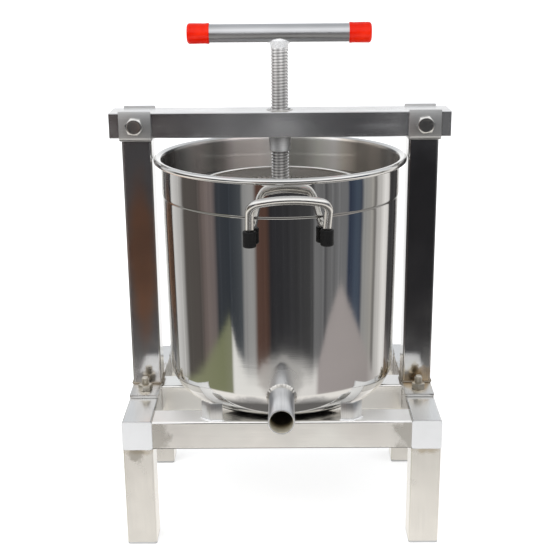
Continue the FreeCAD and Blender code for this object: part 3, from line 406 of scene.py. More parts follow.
def steel(name, color, rough, grain="all", lines=0.10, smudge=0.05, wave=0.0, wave_size=(9, 9, 9), patch=0.06,
          tints=(), anis=0.0, speck=0.0, spin=None, inner=None, thread_painted_shade=None, film=None, bands=None, painted_highlight_stripes=None,
          bore_painted_shade=None):
    """Stainless steel: grain lines, wiped smudges, slow waviness of the sheet, heat tints near welds, and on some
    pieces tints that are painted reflection. spin=(x, y) turns the grain into circles round that axis. inner=(colour,
    roughness, film) is the pot's soft-sheen inside, its colour painted with shade and reflection round the axis by
    INSIDE_PAINTED_LIGHT, thread_painted_shade=(radius, radius, dark, bright) paints shade on a thread, dark at its root
    and bright at its crest, bore_painted_shade=(x, z, radius, mouth, end, stops, film) paints a pipe's inside, light at
    its mouth and shaded further in. film=(axis, low, high, stops) is the share of dull, oxidised metal, bands=(low,
    high, stops) a tone by height, which on some pieces is painted shade and painted highlight, and
    painted_highlight_stripes=(count, degrees, depth) paints upright highlight stripes round a turned piece."""
    mat, nt, bsdf, pos = start(name)
    away = vec(nt, "MULTIPLY", vec(nt, "SUBTRACT", pos, (0.0, AY, 0.0)), (1.0, 1.0, 0.0))
    radius = vec(nt, "LENGTH", away)
    height = node(nt, "ShaderNodeSeparateXYZ", {0: pos}).outputs[2]
    if spin:
        off = vec(nt, "SUBTRACT", pos, (spin[0], spin[1], 0.0))
        sep = node(nt, "ShaderNodeSeparateXYZ", {0: off})
        r = calc(nt, "SQRT", calc(nt, "ADD", calc(nt, "MULTIPLY", sep.outputs[0], sep.outputs[0]),
                                  calc(nt, "MULTIPLY", sep.outputs[1], sep.outputs[1])))
        a = calc(nt, "ARCTAN2", sep.outputs[1], sep.outputs[0])
        pg = node(nt, "ShaderNodeCombineXYZ", {0: calc(nt, "MULTIPLY", r, 1200.0), 1: calc(nt, "MULTIPLY", a, 1.3),
                                               2: calc(nt, "MULTIPLY", sep.outputs[2], 900.0)}).outputs[0]
    else:
        pg = vec(nt, "MULTIPLY", pos, GRAIN[grain])
    fine = cloud(nt, pg, 1.0, 4.0, 0.62)
    wide = cloud(nt, vec(nt, "MULTIPLY", pg, (0.16, 0.16, 0.16)), 1.0, 2.0, 0.5)
    wipe = cloud(nt, pos, 26.0, 4.0, 0.55, 0.4)
    broad = cloud(nt, pos, 11.0, 2.0, 0.5)
    r = calc(nt, "ADD", rough, calc(nt, "MULTIPLY", calc(nt, "SUBTRACT", wipe, 0.5), smudge * 2))
    r = calc(nt, "ADD", r, calc(nt, "MULTIPLY", calc(nt, "SUBTRACT", fine, 0.5), lines * 0.6))
    r = calc(nt, "ADD", r, calc(nt, "MULTIPLY", calc(nt, "SUBTRACT", broad, 0.5), smudge))
    base = blend(nt, span(nt, broad, 0.3, 0.7), [c * (1 - patch) for c in color],
                 [min(1.0, c * (1 + patch)) for c in color])
    base = blend(nt, span(nt, fine, 0.25, 0.75, 0.0, lines * 2.0), base, [c * 0.72 for c in color])
    dull = 0.0
    if film:
        along = node(nt, "ShaderNodeSeparateXYZ", {0: pos}).outputs["xyz".index(film[0])]
        dull = calc(nt, "ADD", ramp(nt, span(nt, along, film[1], film[2], 0.0, 1.0, False), film[3]), 0.0)
    if speck:
        dots = span(nt, cloud(nt, pos, 900.0, 2.0, 0.6), 0.66, 0.78, 0.0, speck)
        base = blend(nt, dots, base, [c * 0.45 for c in color])
    for t in tints:
        rag = cloud(nt, pos, t.get("rag", 120.0), 3.0, 0.6)
        d = vec(nt, "DIVIDE", vec(nt, "SUBTRACT", pos, t["at"]), t["size"])
        d = vec(nt, "LENGTH", d)
        d = calc(nt, "ADD", d, calc(nt, "MULTIPLY", calc(nt, "SUBTRACT", rag, 0.5), t.get("ragged", 1.2)))
        m = span(nt, d, 1.0, t.get("core", 0.55), 0.0, t.get("amount", 0.7))
        base = blend(nt, m, base, t["color"])
        if t.get("rough"):
            r = calc(nt, "ADD", r, calc(nt, "MULTIPLY", m, t["rough"]))
        if t.get("film"):
            dull = calc(nt, "ADD", dull, calc(nt, "MULTIPLY", m, t["film"]))
    if inner:
        limit = calc(nt, "ADD", span(nt, height, 0.346, 0.348, 0.0, 0.0006),
                     span(nt, height, 0.169, 0.330, 0.11830, 0.12010, False))
        limit = calc(nt, "ADD", limit,
                     span(nt, height, 0.3805, 0.3825, 0.0, 0.0008))
        inside = calc(nt, "MULTIPLY", calc(nt, "LESS_THAN", radius, limit), calc(nt, "GREATER_THAN", height, 0.1695))
        sep = node(nt, "ShaderNodeSeparateXYZ", {0: away})
        turn = calc(nt, "ADD", calc(nt, "DIVIDE", calc(nt, "ARCTAN2", sep.outputs[0], sep.outputs[1]), TAU), 0.5)
        # painted shade and reflection: the inside's colour by angle round the axis, from INSIDE_PAINTED_LIGHT
        angle_painted_light = ramp(nt, turn, [((a + 180) / 360.0, [k * c * q for c, q in zip(inner[0], tone)])
                                for a, k, tone in INSIDE_PAINTED_LIGHT])
        base = blend(nt, inside, base, angle_painted_light)
        r = calc(nt, "ADD", r, calc(nt, "MULTIPLY", inside, inner[1]))
        dull = calc(nt, "ADD", dull, calc(nt, "MULTIPLY", inside, inner[2]))
    # painted shade: darker towards a thread's root
    if thread_painted_shade:
        deep = span(nt, radius, thread_painted_shade[0], thread_painted_shade[1], 0.0, 1.0)
        base = blend(nt, 1.0, base, blend(nt, deep, [thread_painted_shade[2]] * 3, [thread_painted_shade[3]] * 3), "MULTIPLY")
    # painted light at a pipe's mouth and painted shade further in
    if bore_painted_shade:
        off = vec(nt, "MULTIPLY", vec(nt, "SUBTRACT", pos, (bore_painted_shade[0], 0.0, bore_painted_shade[1])), (1.0, 0.0, 1.0))
        m = calc(nt, "LESS_THAN", vec(nt, "LENGTH", off), bore_painted_shade[2])
        deep = span(nt, node(nt, "ShaderNodeSeparateXYZ", {0: pos}).outputs[1], bore_painted_shade[3], bore_painted_shade[4], 0.0, 1.0, False)
        base = blend(nt, m, base, ramp(nt, deep, bore_painted_shade[5]))
        dull = calc(nt, "ADD", dull, calc(nt, "MULTIPLY", m, bore_painted_shade[6]))
    # a tone by height: painted shade and painted highlight on the barrel's step and the handle bar
    if bands:
        base = blend(nt, 1.0, base, ramp(nt, span(nt, height, bands[0], bands[1], 0.0, 1.0, False), bands[2]), "MULTIPLY")
    # painted highlight stripes: the colour darkens between count lobes round the axis
    if painted_highlight_stripes:
        sep = node(nt, "ShaderNodeSeparateXYZ", {0: away})
        turn = calc(nt, "ARCTAN2", sep.outputs[0], calc(nt, "MULTIPLY", sep.outputs[1], -1.0))
        crest = calc(nt, "COSINE", calc(nt, "MULTIPLY", calc(nt, "SUBTRACT", turn, math.radians(painted_highlight_stripes[1])),
                                        float(painted_highlight_stripes[0])))
        base = blend(nt, 1.0, base, blend(nt, calc(nt, "ADD", calc(nt, "MULTIPLY", crest, 0.5), 0.5),
                                          [1 - painted_highlight_stripes[2]] * 3, [1.0] * 3), "MULTIPLY")
    nt.links.new(base, bsdf.inputs["Base Color"])
    nt.links.new(calc(nt, "MAXIMUM", r, 0.03), bsdf.inputs["Roughness"])
    bsdf.inputs["Metallic"].default_value = 1.0
    if not isinstance(dull, float):
        nt.links.new(calc(nt, "SUBTRACT", 1.0, dull, clamp=True), bsdf.inputs["Metallic"])
    bsdf.inputs["Anisotropic"].default_value = anis
    h1 = node(nt, "ShaderNodeBump", {"Strength": min(1.0, lines * 2.2), "Distance": 0.00006,
                                     "Height": calc(nt, "ADD", fine, calc(nt, "MULTIPLY", wide, 1.5))})
    last = h1.outputs[0]
    if wave:
        slow = cloud(nt, vec(nt, "MULTIPLY", pos, wave_size), 1.0, 2.0, 0.5)
        h2 = node(nt, "ShaderNodeBump", {"Strength": 1.0, "Distance": wave, "Height": slow, "Normal": last})
        last = h2.outputs[0]
    nt.links.new(last, bsdf.inputs["Normal"])
    return mat


def plastic(name, color, rough, grain=2200.0, bump=0.25, coat=0.0, dirt=0.05, dirt_color=None, lump=0.0, ior=1.46):
    mat, nt, bsdf, pos = start(name)
    broad = cloud(nt, pos, 45.0, 3.0, 0.55)
    small = cloud(nt, pos, grain, 2.0, 0.5)
    base = blend(nt, span(nt, broad, 0.35, 0.75, 0.0, 1.0), color,
                 [c * (1 - dirt) for c in color] if dirt_color is None else dirt_color)
    base = blend(nt, span(nt, small, 0.3, 0.8, 0.0, dirt), base, [c * 0.75 for c in color])
    nt.links.new(base, bsdf.inputs["Base Color"])
    r = calc(nt, "ADD", rough, calc(nt, "MULTIPLY", calc(nt, "SUBTRACT", broad, 0.5), 0.16))
    r = calc(nt, "ADD", r, calc(nt, "MULTIPLY", calc(nt, "SUBTRACT", small, 0.5), 0.08))
    nt.links.new(calc(nt, "MAXIMUM", r, 0.05), bsdf.inputs["Roughness"])
    bsdf.inputs["IOR"].default_value = ior
    bsdf.inputs["Coat Weight"].default_value = coat
    bsdf.inputs["Coat Roughness"].default_value = 0.12
    b = node(nt, "ShaderNodeBump", {"Strength": bump, "Distance": 0.00006, "Height": small})
    last = b.outputs[0]
    if lump:
        b2 = node(nt, "ShaderNodeBump", {"Strength": 1.0, "Distance": lump, "Height": cloud(nt, pos, 130.0, 2.0, 0.5),
                                         "Normal": last})
        last = b2.outputs[0]
    nt.links.new(last, bsdf.inputs["Normal"])
    return mat


BROWN = (0.30, 0.17, 0.07)
STRAW = (0.55, 0.42, 0.22)
BLUE = (0.22, 0.25, 0.34)


def foot_tints():
    """Heat colours round the welded feet of the two uprights."""
    out = []
    for s in (-1, 1):
        k = 0.68 if s > 0 else 0.35
        out += [
            {"at": (0.150 * s, AY - 0.015, 0.148), "size": (0.012, 0.010, 0.013), "color": BROWN, "amount": 0.75 * k,
             "rough": 0.15, "rag": 170},
            {"at": (0.136 * s, AY - 0.015, 0.143), "size": (0.010, 0.010, 0.008), "color": BROWN, "amount": 0.65 * k,
             "rough": 0.15, "rag": 190},
            {"at": (0.144 * s, AY, 0.143), "size": (0.040, 0.040, 0.020), "color": STRAW, "amount": 0.55 * k,
             "rough": 0.1, "rag": 110},
        ]
    return out


def rail_tints():
    out = []
    for s in (-1, 1):
        out += [
            {"at": (0.131 * s, AY - 0.1065, 0.123), "size": (0.022, 0.02, 0.024), "color": (0.44, 0.42, 0.37),
             "amount": 0.5, "rough": 0.12, "rag": 75, "core": 0.6, "ragged": 1.5},
            {"at": (0.131 * s, AY + 0.1065, 0.121), "size": (0.020, 0.02, 0.024), "color": (0.44, 0.42, 0.37),
             "amount": 0.5, "rough": 0.12, "rag": 75, "core": 0.6, "ragged": 1.5},
        ]
    # the front rail's top is rubbed dull beside the barrel
    for s in (-1, 1):
        out.append({"at": (0.130 * s, -0.0802, 0.1370), "size": (0.070, 0.030, 0.0030), "color": (0.95, 0.94, 0.92),
                    "amount": 0.9, "rag": 40, "ragged": 0.08, "core": 0.72, "rough": 0.20, "film": 0.55})
    return out


def leg_tints():
    out = []
    for sx in (-1, 1):
        for sy in (-1, 1):
            out.append({"at": (0.144 * sx, AY + 0.0915 * sy, 0.107), "size": (0.025, 0.025, 0.010), "color": STRAW,
                        "amount": 0.45, "rough": 0.12, "rag": 130, "ragged": 0.9})
    out.append({"at": (-0.146, AY - 0.1065, 0.101), "size": (0.009, 0.012, 0.010), "color": (0.33, 0.30, 0.24),
                "amount": 0.5, "rough": 0.1, "rag": 160})
    return out


def upright_tints_and_painted_reflection():
    out = foot_tints()
    # painted reflection on the uprights' fronts, away from any weld: a slightly darker grey over the left front, an
    # orange stripe on it, and a dark patch on the right front
    out.append({"at": (-0.144, AY - 0.015, 0.270), "size": (0.060, 0.006, 0.250), "color": (0.70, 0.69, 0.68),
                "amount": 1.0, "rag": 30, "core": 0.75, "ragged": 0.1, "film": 0.030})
    out.append({"at": (-0.143, AY - 0.015, 0.280), "size": (0.019, 0.006, 0.112), "color": (1.0, 0.55, 0.34),
                "amount": 0.95, "rag": 30, "core": 0.40, "ragged": 0.4})
    out.append({"at": (0.144, AY - 0.015, 0.285), "size": (0.040, 0.020, 0.135), "color": (0.34, 0.33, 0.33),
                "amount": 0.92, "rag": 30, "core": 0.6, "ragged": 0.4})
    return out


def beam_tints():
    soft = {"color": (0.80, 0.80, 0.81), "amount": 0.9, "rag": 22, "core": -0.2, "ragged": 0.10}
    return [dict(soft, at=(0.002, AY - 0.0200, 0.4175), size=(0.038, 0.008, 0.024), rough=0.01, film=0.135,
                 color=(1.0, 1.0, 1.0)),
            dict(soft, at=(0.098, AY - 0.0200, 0.416), size=(0.050, 0.008, 0.006), rough=0.02, film=0.05)]


def barrel_tints_and_painted_reflection():
    out = [{"at": (0.0, AY - 0.1200, 0.180), "size": (0.027, 0.03, 0.034), "color": (0.72, 0.715, 0.70),
            "amount": 0.9, "rough": 0.26, "rag": 55, "ragged": 0.7, "core": 0.35}]
    # painted dark reflection: shadow-like streaks on each side just under the spout
    for s in (-1, 1):
        out.append({"at": (0.029 * s, AY - 0.1165, 0.1625), "size": (0.021, 0.03, 0.0055), "color": (0.30, 0.30, 0.31),
                    "amount": 0.65, "rough": 0.25, "rag": 90, "ragged": 0.9, "core": 0.3})
    return out


WARM = (0.80, 0.785, 0.75)
M = {
    "rail_x": steel("rail_x", (0.97, 0.945, 0.91), 0.22, "x", 0.05, 0.09, patch=0.06, tints=rail_tints(), wave=0.0003),
    "rail_y": steel("rail_y", (0.80, 0.80, 0.79), 0.22, "y", 0.10, 0.08, patch=0.06, wave=0.0002),
    "leg": steel("leg", (0.90, 0.88, 0.835), 0.25, "z", 0.045, 0.08, patch=0.06, tints=leg_tints(), wave=0.0003),
    "upright": steel("upright", (0.74, 0.735, 0.72), 0.13, "z", 0.08, 0.05, patch=0.05, tints=upright_tints_and_painted_reflection(),
                     wave=0.0004, wave_size=(14, 14, 6),),
    "beam": steel("beam", (0.74, 0.74, 0.745), 0.22, "x", 0.14, 0.12, patch=0.12, wave=0.0006, wave_size=(7, 14, 14),
                  tints=beam_tints(), film=("x", -0.17, 0.17, [
                      (0.0, 0.02), (0.17, 0.0), (0.26, 0.05), (0.36, 0.12), (0.62, 0.08), (0.70, 0.05), (1.0, 0.10)])),
    "strip": steel("strip", (0.74, 0.74, 0.73), 0.36, "x", 0.22, 0.06, patch=0.04),
    "strip_z": steel("strip_z", (0.78, 0.78, 0.77), 0.34, "z", 0.18, 0.06, patch=0.05),
    "plate": steel("plate", (0.74, 0.73, 0.71), 0.28, "y", 0.15, 0.08, patch=0.08, tints=foot_tints()),
    "fastener": steel("fastener", (0.74, 0.73, 0.70), 0.22, "all", 0.12, 0.08, patch=0.08, speck=0.25),
    "fastener_foot": steel("fastener_foot", (0.70, 0.66, 0.58), 0.30, "all", 0.15, 0.10, patch=0.15, speck=0.5,
                           tints=foot_tints()),
    "turned": steel("turned", (1.0, 0.995, 0.99), 0.28, lines=0.16, smudge=0.05, spin=(0.0, AY),
                    # painted highlight stripes round the nut's boss
                    film=("z", 0.38, 0.43, [(0.0, 0.92), (1.0, 0.92)]), painted_highlight_stripes=(5, 22, 0.50)),
    "barrel": steel("barrel", (0.74, 0.735, 0.72), 0.055, lines=0.02, smudge=0.025, wave=0.00036,
                    wave_size=(11, 11, 5), patch=0.03, spin=(0.0, AY), tints=barrel_tints_and_painted_reflection(),
                    # the inside's colour carries painted shade and reflection by angle (INSIDE_PAINTED_LIGHT)
                    inner=((1.0, 0.98, 0.95), 0.08, 0.54),
                    # painted shade: a thin dark line along the step bead
                    bands=(0.3445, 0.3495, [(0.10, 1.0), (0.26, 0.75), (0.36, 0.28), (0.62, 0.24), (0.74, 0.75),
                                            (0.9, 1.0)])),
    "spout": steel("spout", (0.76, 0.77, 0.785), 0.34, "y", 0.18, 0.12, patch=0.18,
                   # painted light and shade in the bore: light at the mouth, near black further in
                   bore_painted_shade=(0.0, 0.167, 0.01125, AY - 0.175, AY - 0.120, [
                       (0.0, (1.0, 0.95, 0.82)), (0.16, (0.85, 0.78, 0.60)), (0.26, (0.34, 0.28, 0.18)),
                       (0.36, (0.055, 0.045, 0.03)), (1.0, (0.03, 0.025, 0.018))], 0.4)),
    "rod": steel("rod", (0.76, 0.745, 0.715), 0.19, "all", 0.05, 0.05, patch=0.05),
    # painted shade and highlight by height: the bar darker below its middle, with a bright band just above it
    "bar": steel("bar", (0.68, 0.685, 0.695), 0.34, "x", 0.14, 0.08, patch=0.08, bands=(0.4964, 0.5144, [
        (0.18, 0.85), (0.258, 0.85), (0.314, 0.64), (0.36, 0.46), (0.40, 0.48), (0.43, 0.64), (0.48, 1.12),
        (0.535, 1.42), (0.59, 1.18), (0.64, 0.96), (0.72, 1.0)])),
    "basket": steel("basket", (0.86, 0.83, 0.79), 0.24, lines=0.08, smudge=0.08, patch=0.08, spin=(0.0, AY),
                    film=("z", 0.1, 0.4, [(0.0, 0.25), (1.0, 0.25)])),
    "wire": steel("wire", (0.84, 0.82, 0.78), 0.16, "all", 0.05, 0.05, patch=0.05),
    "press": steel("press", (0.68, 0.67, 0.65), 0.26, lines=0.22, smudge=0.08, patch=0.05, spin=(0.0, AY)),
    "screw": steel("screw", (1.0, 0.97, 0.95), 0.18, "all", 0.06, 0.06, patch=0.04,
                   # painted shade in the thread's roots and painted highlight stripes round the screw
                   thread_painted_shade=(0.0079, 0.0088, 0.62, 1.0), painted_highlight_stripes=(9, 10.5, 0.40),
                   film=("z", 0.42, 0.50, [(0.0, 0.34), (0.2, 0.38), (1.0, 0.82)])),
    "weld": steel("weld", (0.70, 0.68, 0.64), 0.30, "all", 0.20, 0.12, patch=0.18, speck=0.5),
    "weld_dark": steel("weld_dark", (0.48, 0.42, 0.34), 0.36, "all", 0.25, 0.12, patch=0.30, speck=0.7),
    # painted highlight: a whiter copy of the weld finish, mostly dull, for the tab welds and the handle weld
    "weld_painted_highlight": steel("weld_painted_highlight", (0.97, 0.97, 0.97), 0.28, "all", 0.15, 0.10, patch=0.06, speck=0.2,
                         film=("z", 0.0, 1.0, [(0.0, 0.7), (1.0, 0.7)])),
    "white": plastic("white", (0.67, 0.67, 0.67), 0.42, dirt=0.04, dirt_color=(0.64, 0.64, 0.635), lump=0.0002),
    "grey": plastic("grey", (0.50, 0.50, 0.49), 0.50, dirt=0.08),
    "rubber": plastic("rubber", (0.0035, 0.0035, 0.004), 0.48, bump=0.4, dirt=0.3, dirt_color=(0.007, 0.007, 0.007),
                      ior=1.34),
    "red": plastic("red", (0.72, 0.010, 0.001), 0.20, grain=900.0, bump=0.15, coat=0.06, dirt=0.10,
                   dirt_color=(0.84, 0.022, 0.003), lump=0.0008, ior=1.26),
}


def wear(names, key):
    for n in names.split():
        for s in NODES[n].material_slots:
            s.material = M[key]


wear("side_rail_left side_rail_right", "rail_y")
wear("cross_rail_front cross_rail_middle cross_rail_rear", "rail_x")
wear("leg_front_left leg_front_right leg_rear_left leg_rear_right", "leg")
wear("upright_left upright_right", "upright")
wear("cross_beam beam_end_plates", "beam")
wear("rail_end_caps", "white")
wear("foot_caps", "grey")
wear("upright_foot_left upright_foot_right", "plate")
wear("saddle_left saddle_right", "strip")
wear("foot_bolts foot_nuts", "fastener_foot")
wear("beam_bolts beam_washers beam_nuts hub_set_screws", "fastener")
wear("lead_nut", "turned")
wear("locating_tabs", "strip_z")
wear("barrel", "barrel")
wear("spout", "spout")
wear("front_handle rear_handle", "rod")
wear("handle_bar", "bar")
wear("handle_sleeves", "rubber")
wear("basket_wall basket_floor", "basket")
wear("basket_rim_wire basket_base_wire", "wire")
wear("press_plate press_plate_hub", "press")
wear("lead_screw", "screw")
wear("handle_end_caps", "red")


# ------------------------------------------------------------------ barrel

CORNER, DRAFT = 32.0, 1.8


def wall_r(z):
    """The barrel's outside radius at a height: it narrows very slightly downwards."""
    h = 137.0 + CORNER - z
    wide = 120.6 - DRAFT * min(max((330.0 - z) / 161.0, 0.0), 1.0)
    return wide if h <= 0 else wide - CORNER + math.sqrt(max(CORNER * CORNER - h * h, 0.0))


def barrel_shell():
    ro, t, rc = 120.6, 1.2, CORNER
    ri = ro - t
    low = ro - DRAFT - rc
    levels = (180, 190, 205, 220, 240, 260, 280, 300, 315, 330, 340.5)
    prof = [(0, 137.0), (60, 137.0), (low, 137.0)]
    prof += arc(low, 137 + rc, rc, -90, 0, 30)[1:]
    prof += [(wall_r(z), z) for z in levels]
    # step bead pressed out of the wall, and the slightly wider neck above it
    bead = [(0.0, 345.0), (0.02, 345.9), (0.10, 346.35), (0.27, 346.75), (0.46, 347.1), (0.60, 347.5), (0.68, 348.1),
            (0.7, 349.2)]
    prof += [(ro + d, z) for d, z in bead]
    prof += [(ro + 0.7, 360), (ro + 0.7, 370.5), (ro + 0.7, 377.4), (ro + 0.76, 378.6), (ro + 0.95, 379.5),
             (ro + 1.4, 380.1)]
    prof += arc(125.55, 382.0, 2.95, -143, 96, 32)
    prof += [(124.25, 384.82), (123.2, 384.55), (122.2, 384.05), (121.35, 383.35), (120.75, 382.45), (120.35, 381.35),
             (120.16, 380.1), (120.11, 378.6), (ri + 0.7, 376.5), (ri + 0.7, 360)]
    prof += [(ri + d, z) for d, z in reversed(bead)]
    prof += [(wall_r(z) - t, z) for z in reversed(levels)]
    prof += arc(low, 137 + rc, rc - t, 0, -90, 28)
    prof += [(60, 137 + t), (0, 137 + t)]
    verts, faces = lathe(prof, 360)
    ob = solid("barrel_shell", verts, faces, "barrel", M["barrel"], ("barrel",))
    # the hole that the spout drains through
    v, f = lathe([(0, -16), (11, -16), (11, 16), (0, 16)], 72)
    me = bpy.data.meshes.new("drill")
    turn = place(0, -119.0, 167.0, Matrix.Rotation(math.radians(90), 4, "X"))
    me.from_pydata([tuple(p) for p in ((turn @ Vector(q)) * MM + Vector((0, AY, 0)) for q in v)], [], f)
    drill = bpy.data.objects.new("drill", me)
    SCENE.collection.objects.link(drill)
    mod = ob.modifiers.new("hole", "BOOLEAN")
    mod.operation, mod.solver, mod.object = "DIFFERENCE", "EXACT", drill
    bpy.context.view_layer.update()
    cut = bpy.data.meshes.new_from_object(ob.evaluated_get(bpy.context.evaluated_depsgraph_get()))
    ob.modifiers.clear()
    old = ob.data
    ob.data = cut
    cut.name = "barrel_shell_cut"
    bpy.data.meshes.remove(old)
    bpy.data.objects.remove(drill)
    shade(cut, 32)
    return ob


barrel_shell()

FACE_FRONT = Matrix.Rotation(math.radians(90), 4, "X")      # +Z turned to -Y


def wall_y(x, r):
    return math.sqrt(max(r * r - x * x, 0.0))


# spout: a cut length of tube with a dressed mouth, its root fitted to the barrel's round
def spout_pipe():
    prof = [(12.5, None), (12.5, 140.0), (12.5, 174.45), (12.28, 174.87), (12.0, 175.0), (11.4, 175.0),
            (11.12, 174.85), (11.0, 174.4), (11.0, 150.0), (11.0, None)]
    n, m = 96, len(prof)
    verts, faces = [], []
    for i in range(n):
        a = TAU * i / n
        for r, out in prof:
            x, z = r * math.cos(a), 167 + r * math.sin(a)
            verts.append((x, -(wall_y(x, wall_r(z)) - 0.5 if out is None else out), z))
    for i in range(n):
        j = (i + 1) % n
        for k in range(m):
            q = (k + 1) % m
            faces.append([i * m + k, i * m + q, j * m + q, j * m + k])
    return verts, faces


v, f = spout_pipe()
solid("spout_tube", v, f, "barrel", M["spout"], ("spout",))


def root_weld():
    n, m = 180, 9
    verts, faces = [], []
    for i in range(n):
        a = TAU * i / n
        ripple = 0.5 + 0.5 * math.cos(a * 26)
        big = noise.noise(Vector((math.cos(a) * 1.6, math.sin(a) * 1.6, 3.7)))
        reach = 15.2 + 0.5 * big + 0.25 * ripple - 0.9 * max(0.0, -math.sin(a))
        rise = 3.4 + 0.8 * big + 0.35 * ripple
        for k in range(m):
            t = k / (m - 1)
            # a shallow hollow between the wall and the tube
            r = reach + (12.55 - reach) * (t ** 0.75)
            out = rise * (t ** 1.5) + 0.25 * ripple * math.sin(math.pi * t)
            x, z = r * math.cos(a), r * math.sin(a)
            y = -(wall_y(x, wall_r(167 + z)) + out - (0.4 if k == 0 else 0.0))
            verts.append((x, y, 167 + z))
        x, z = 12.3 * math.cos(a), 12.3 * math.sin(a)
        verts.append((x, -wall_y(x, wall_r(167 + z) - 0.4), 167 + z))
    m += 1
    for i in range(n):
        j = (i + 1) % n
        for k in range(m):
            q = (k + 1) % m
            faces.append([i * m + k, i * m + q, j * m + q, j * m + k])
    return verts, faces


v, f = root_weld()
solid("spout_root_weld", v, f, "barrel", M["weld"], deg=60)


# side handles, set a little round the barrel: in from the wall, up, leaning out, over and back
BAIL_X, BAIL_Y = 36.0, 122.3


def facing(front):
    return Matrix.Rotation(math.radians(3.5 + (180 if front else 0)), 4, "Z")


def handle_line():
    rb, rk, rc = 5.0, 8.0, 12.0
    low, knee, leg = 325.5, 334.0, 23.2
    turn, lean = math.radians(76), math.radians(36)
    side = [(-BAIL_X, wall_y(BAIL_X, 119.8), low), (-BAIL_X, BAIL_Y - rb, low)]
    side += [(-BAIL_X, y, z) for y, z in arc(BAIL_Y - rb, low + rb, rb, -90, 0, 8)[1:]]
    side += [(-BAIL_X, BAIL_Y + rk * (1 - math.cos(lean * k / 7)), knee + rk * math.sin(lean * k / 7)) for k in range(8)]
    ky, kz = side[-1][1], side[-1][2]

    def up(u, v):
        return (u, ky + v * math.sin(lean), kz + v * math.cos(lean))

    side += [up(-BAIL_X + rc * (1 - math.cos(turn * k / 14)), leg + rc * math.sin(turn * k / 14)) for k in range(15)]
    ux, vx = -BAIL_X + rc * (1 - math.cos(turn)), leg + rc * math.sin(turn)
    rest = math.pi / 2 - turn
    ra = -ux / math.sin(rest)
    top = [up(ra * math.sin(-rest + 2 * rest * k / 24), vx + ra * (math.cos(-rest + 2 * rest * k / 24) - math.cos(rest)))
           for k in range(1, 24)]
    return side + top + [(-x, y, z) for x, y, z in reversed(side)]


for name, front, cad in (("front_bail", True, "front_handle"), ("rear_bail", False, "rear_handle")):
    v, f = sweep([facing(front) @ Vector(q) for q in handle_line()], 4.0, 36)
    solid(name, v, f, "barrel", M["rod"], (cad,))

# rubber boots on the lower bends, and the welds where the rods meet the wall
boot = [(0, 0), (5.0, 0.0), (5.8, 0.25), (6.2, 0.9), (6.3, 1.8), (6.2, 4.0), (6.15, 7.6), (6.2, 11.2), (6.3, 13.6),
        (6.2, 14.6), (5.8, 15.25), (5.2, 15.5), (4.55, 15.45), (4.15, 15.1), (4.0, 14.2), (0, 14.2)]
h = Heap()
hw = Heap()
for i, (sx, front) in enumerate(((-1, True), (1, True), (-1, False), (1, False))):
    turn = facing(front)
    h.add(lathe(boot, 48), turn @ place(BAIL_X * sx, BAIL_Y, 320.5))
    ring = []
    for k in range(64):
        a = TAU * k / 64
        x, z = BAIL_X * sx + 4.35 * math.cos(a), 325.5 + 4.35 * math.sin(a)
        ring.append(turn @ Vector((x, wall_y(x, 120.6) + 0.1, z)))
    hw.add(weld(ring, 0.8, 40 + i, closed=True))
solid("handle_boots", h.v, h.f, "barrel", M["rubber"], ("handle_sleeves",))
solid("handle_welds", hw.v, hw.f, "barrel", M["weld"], deg=60)


# ------------------------------------------------------------------ basket

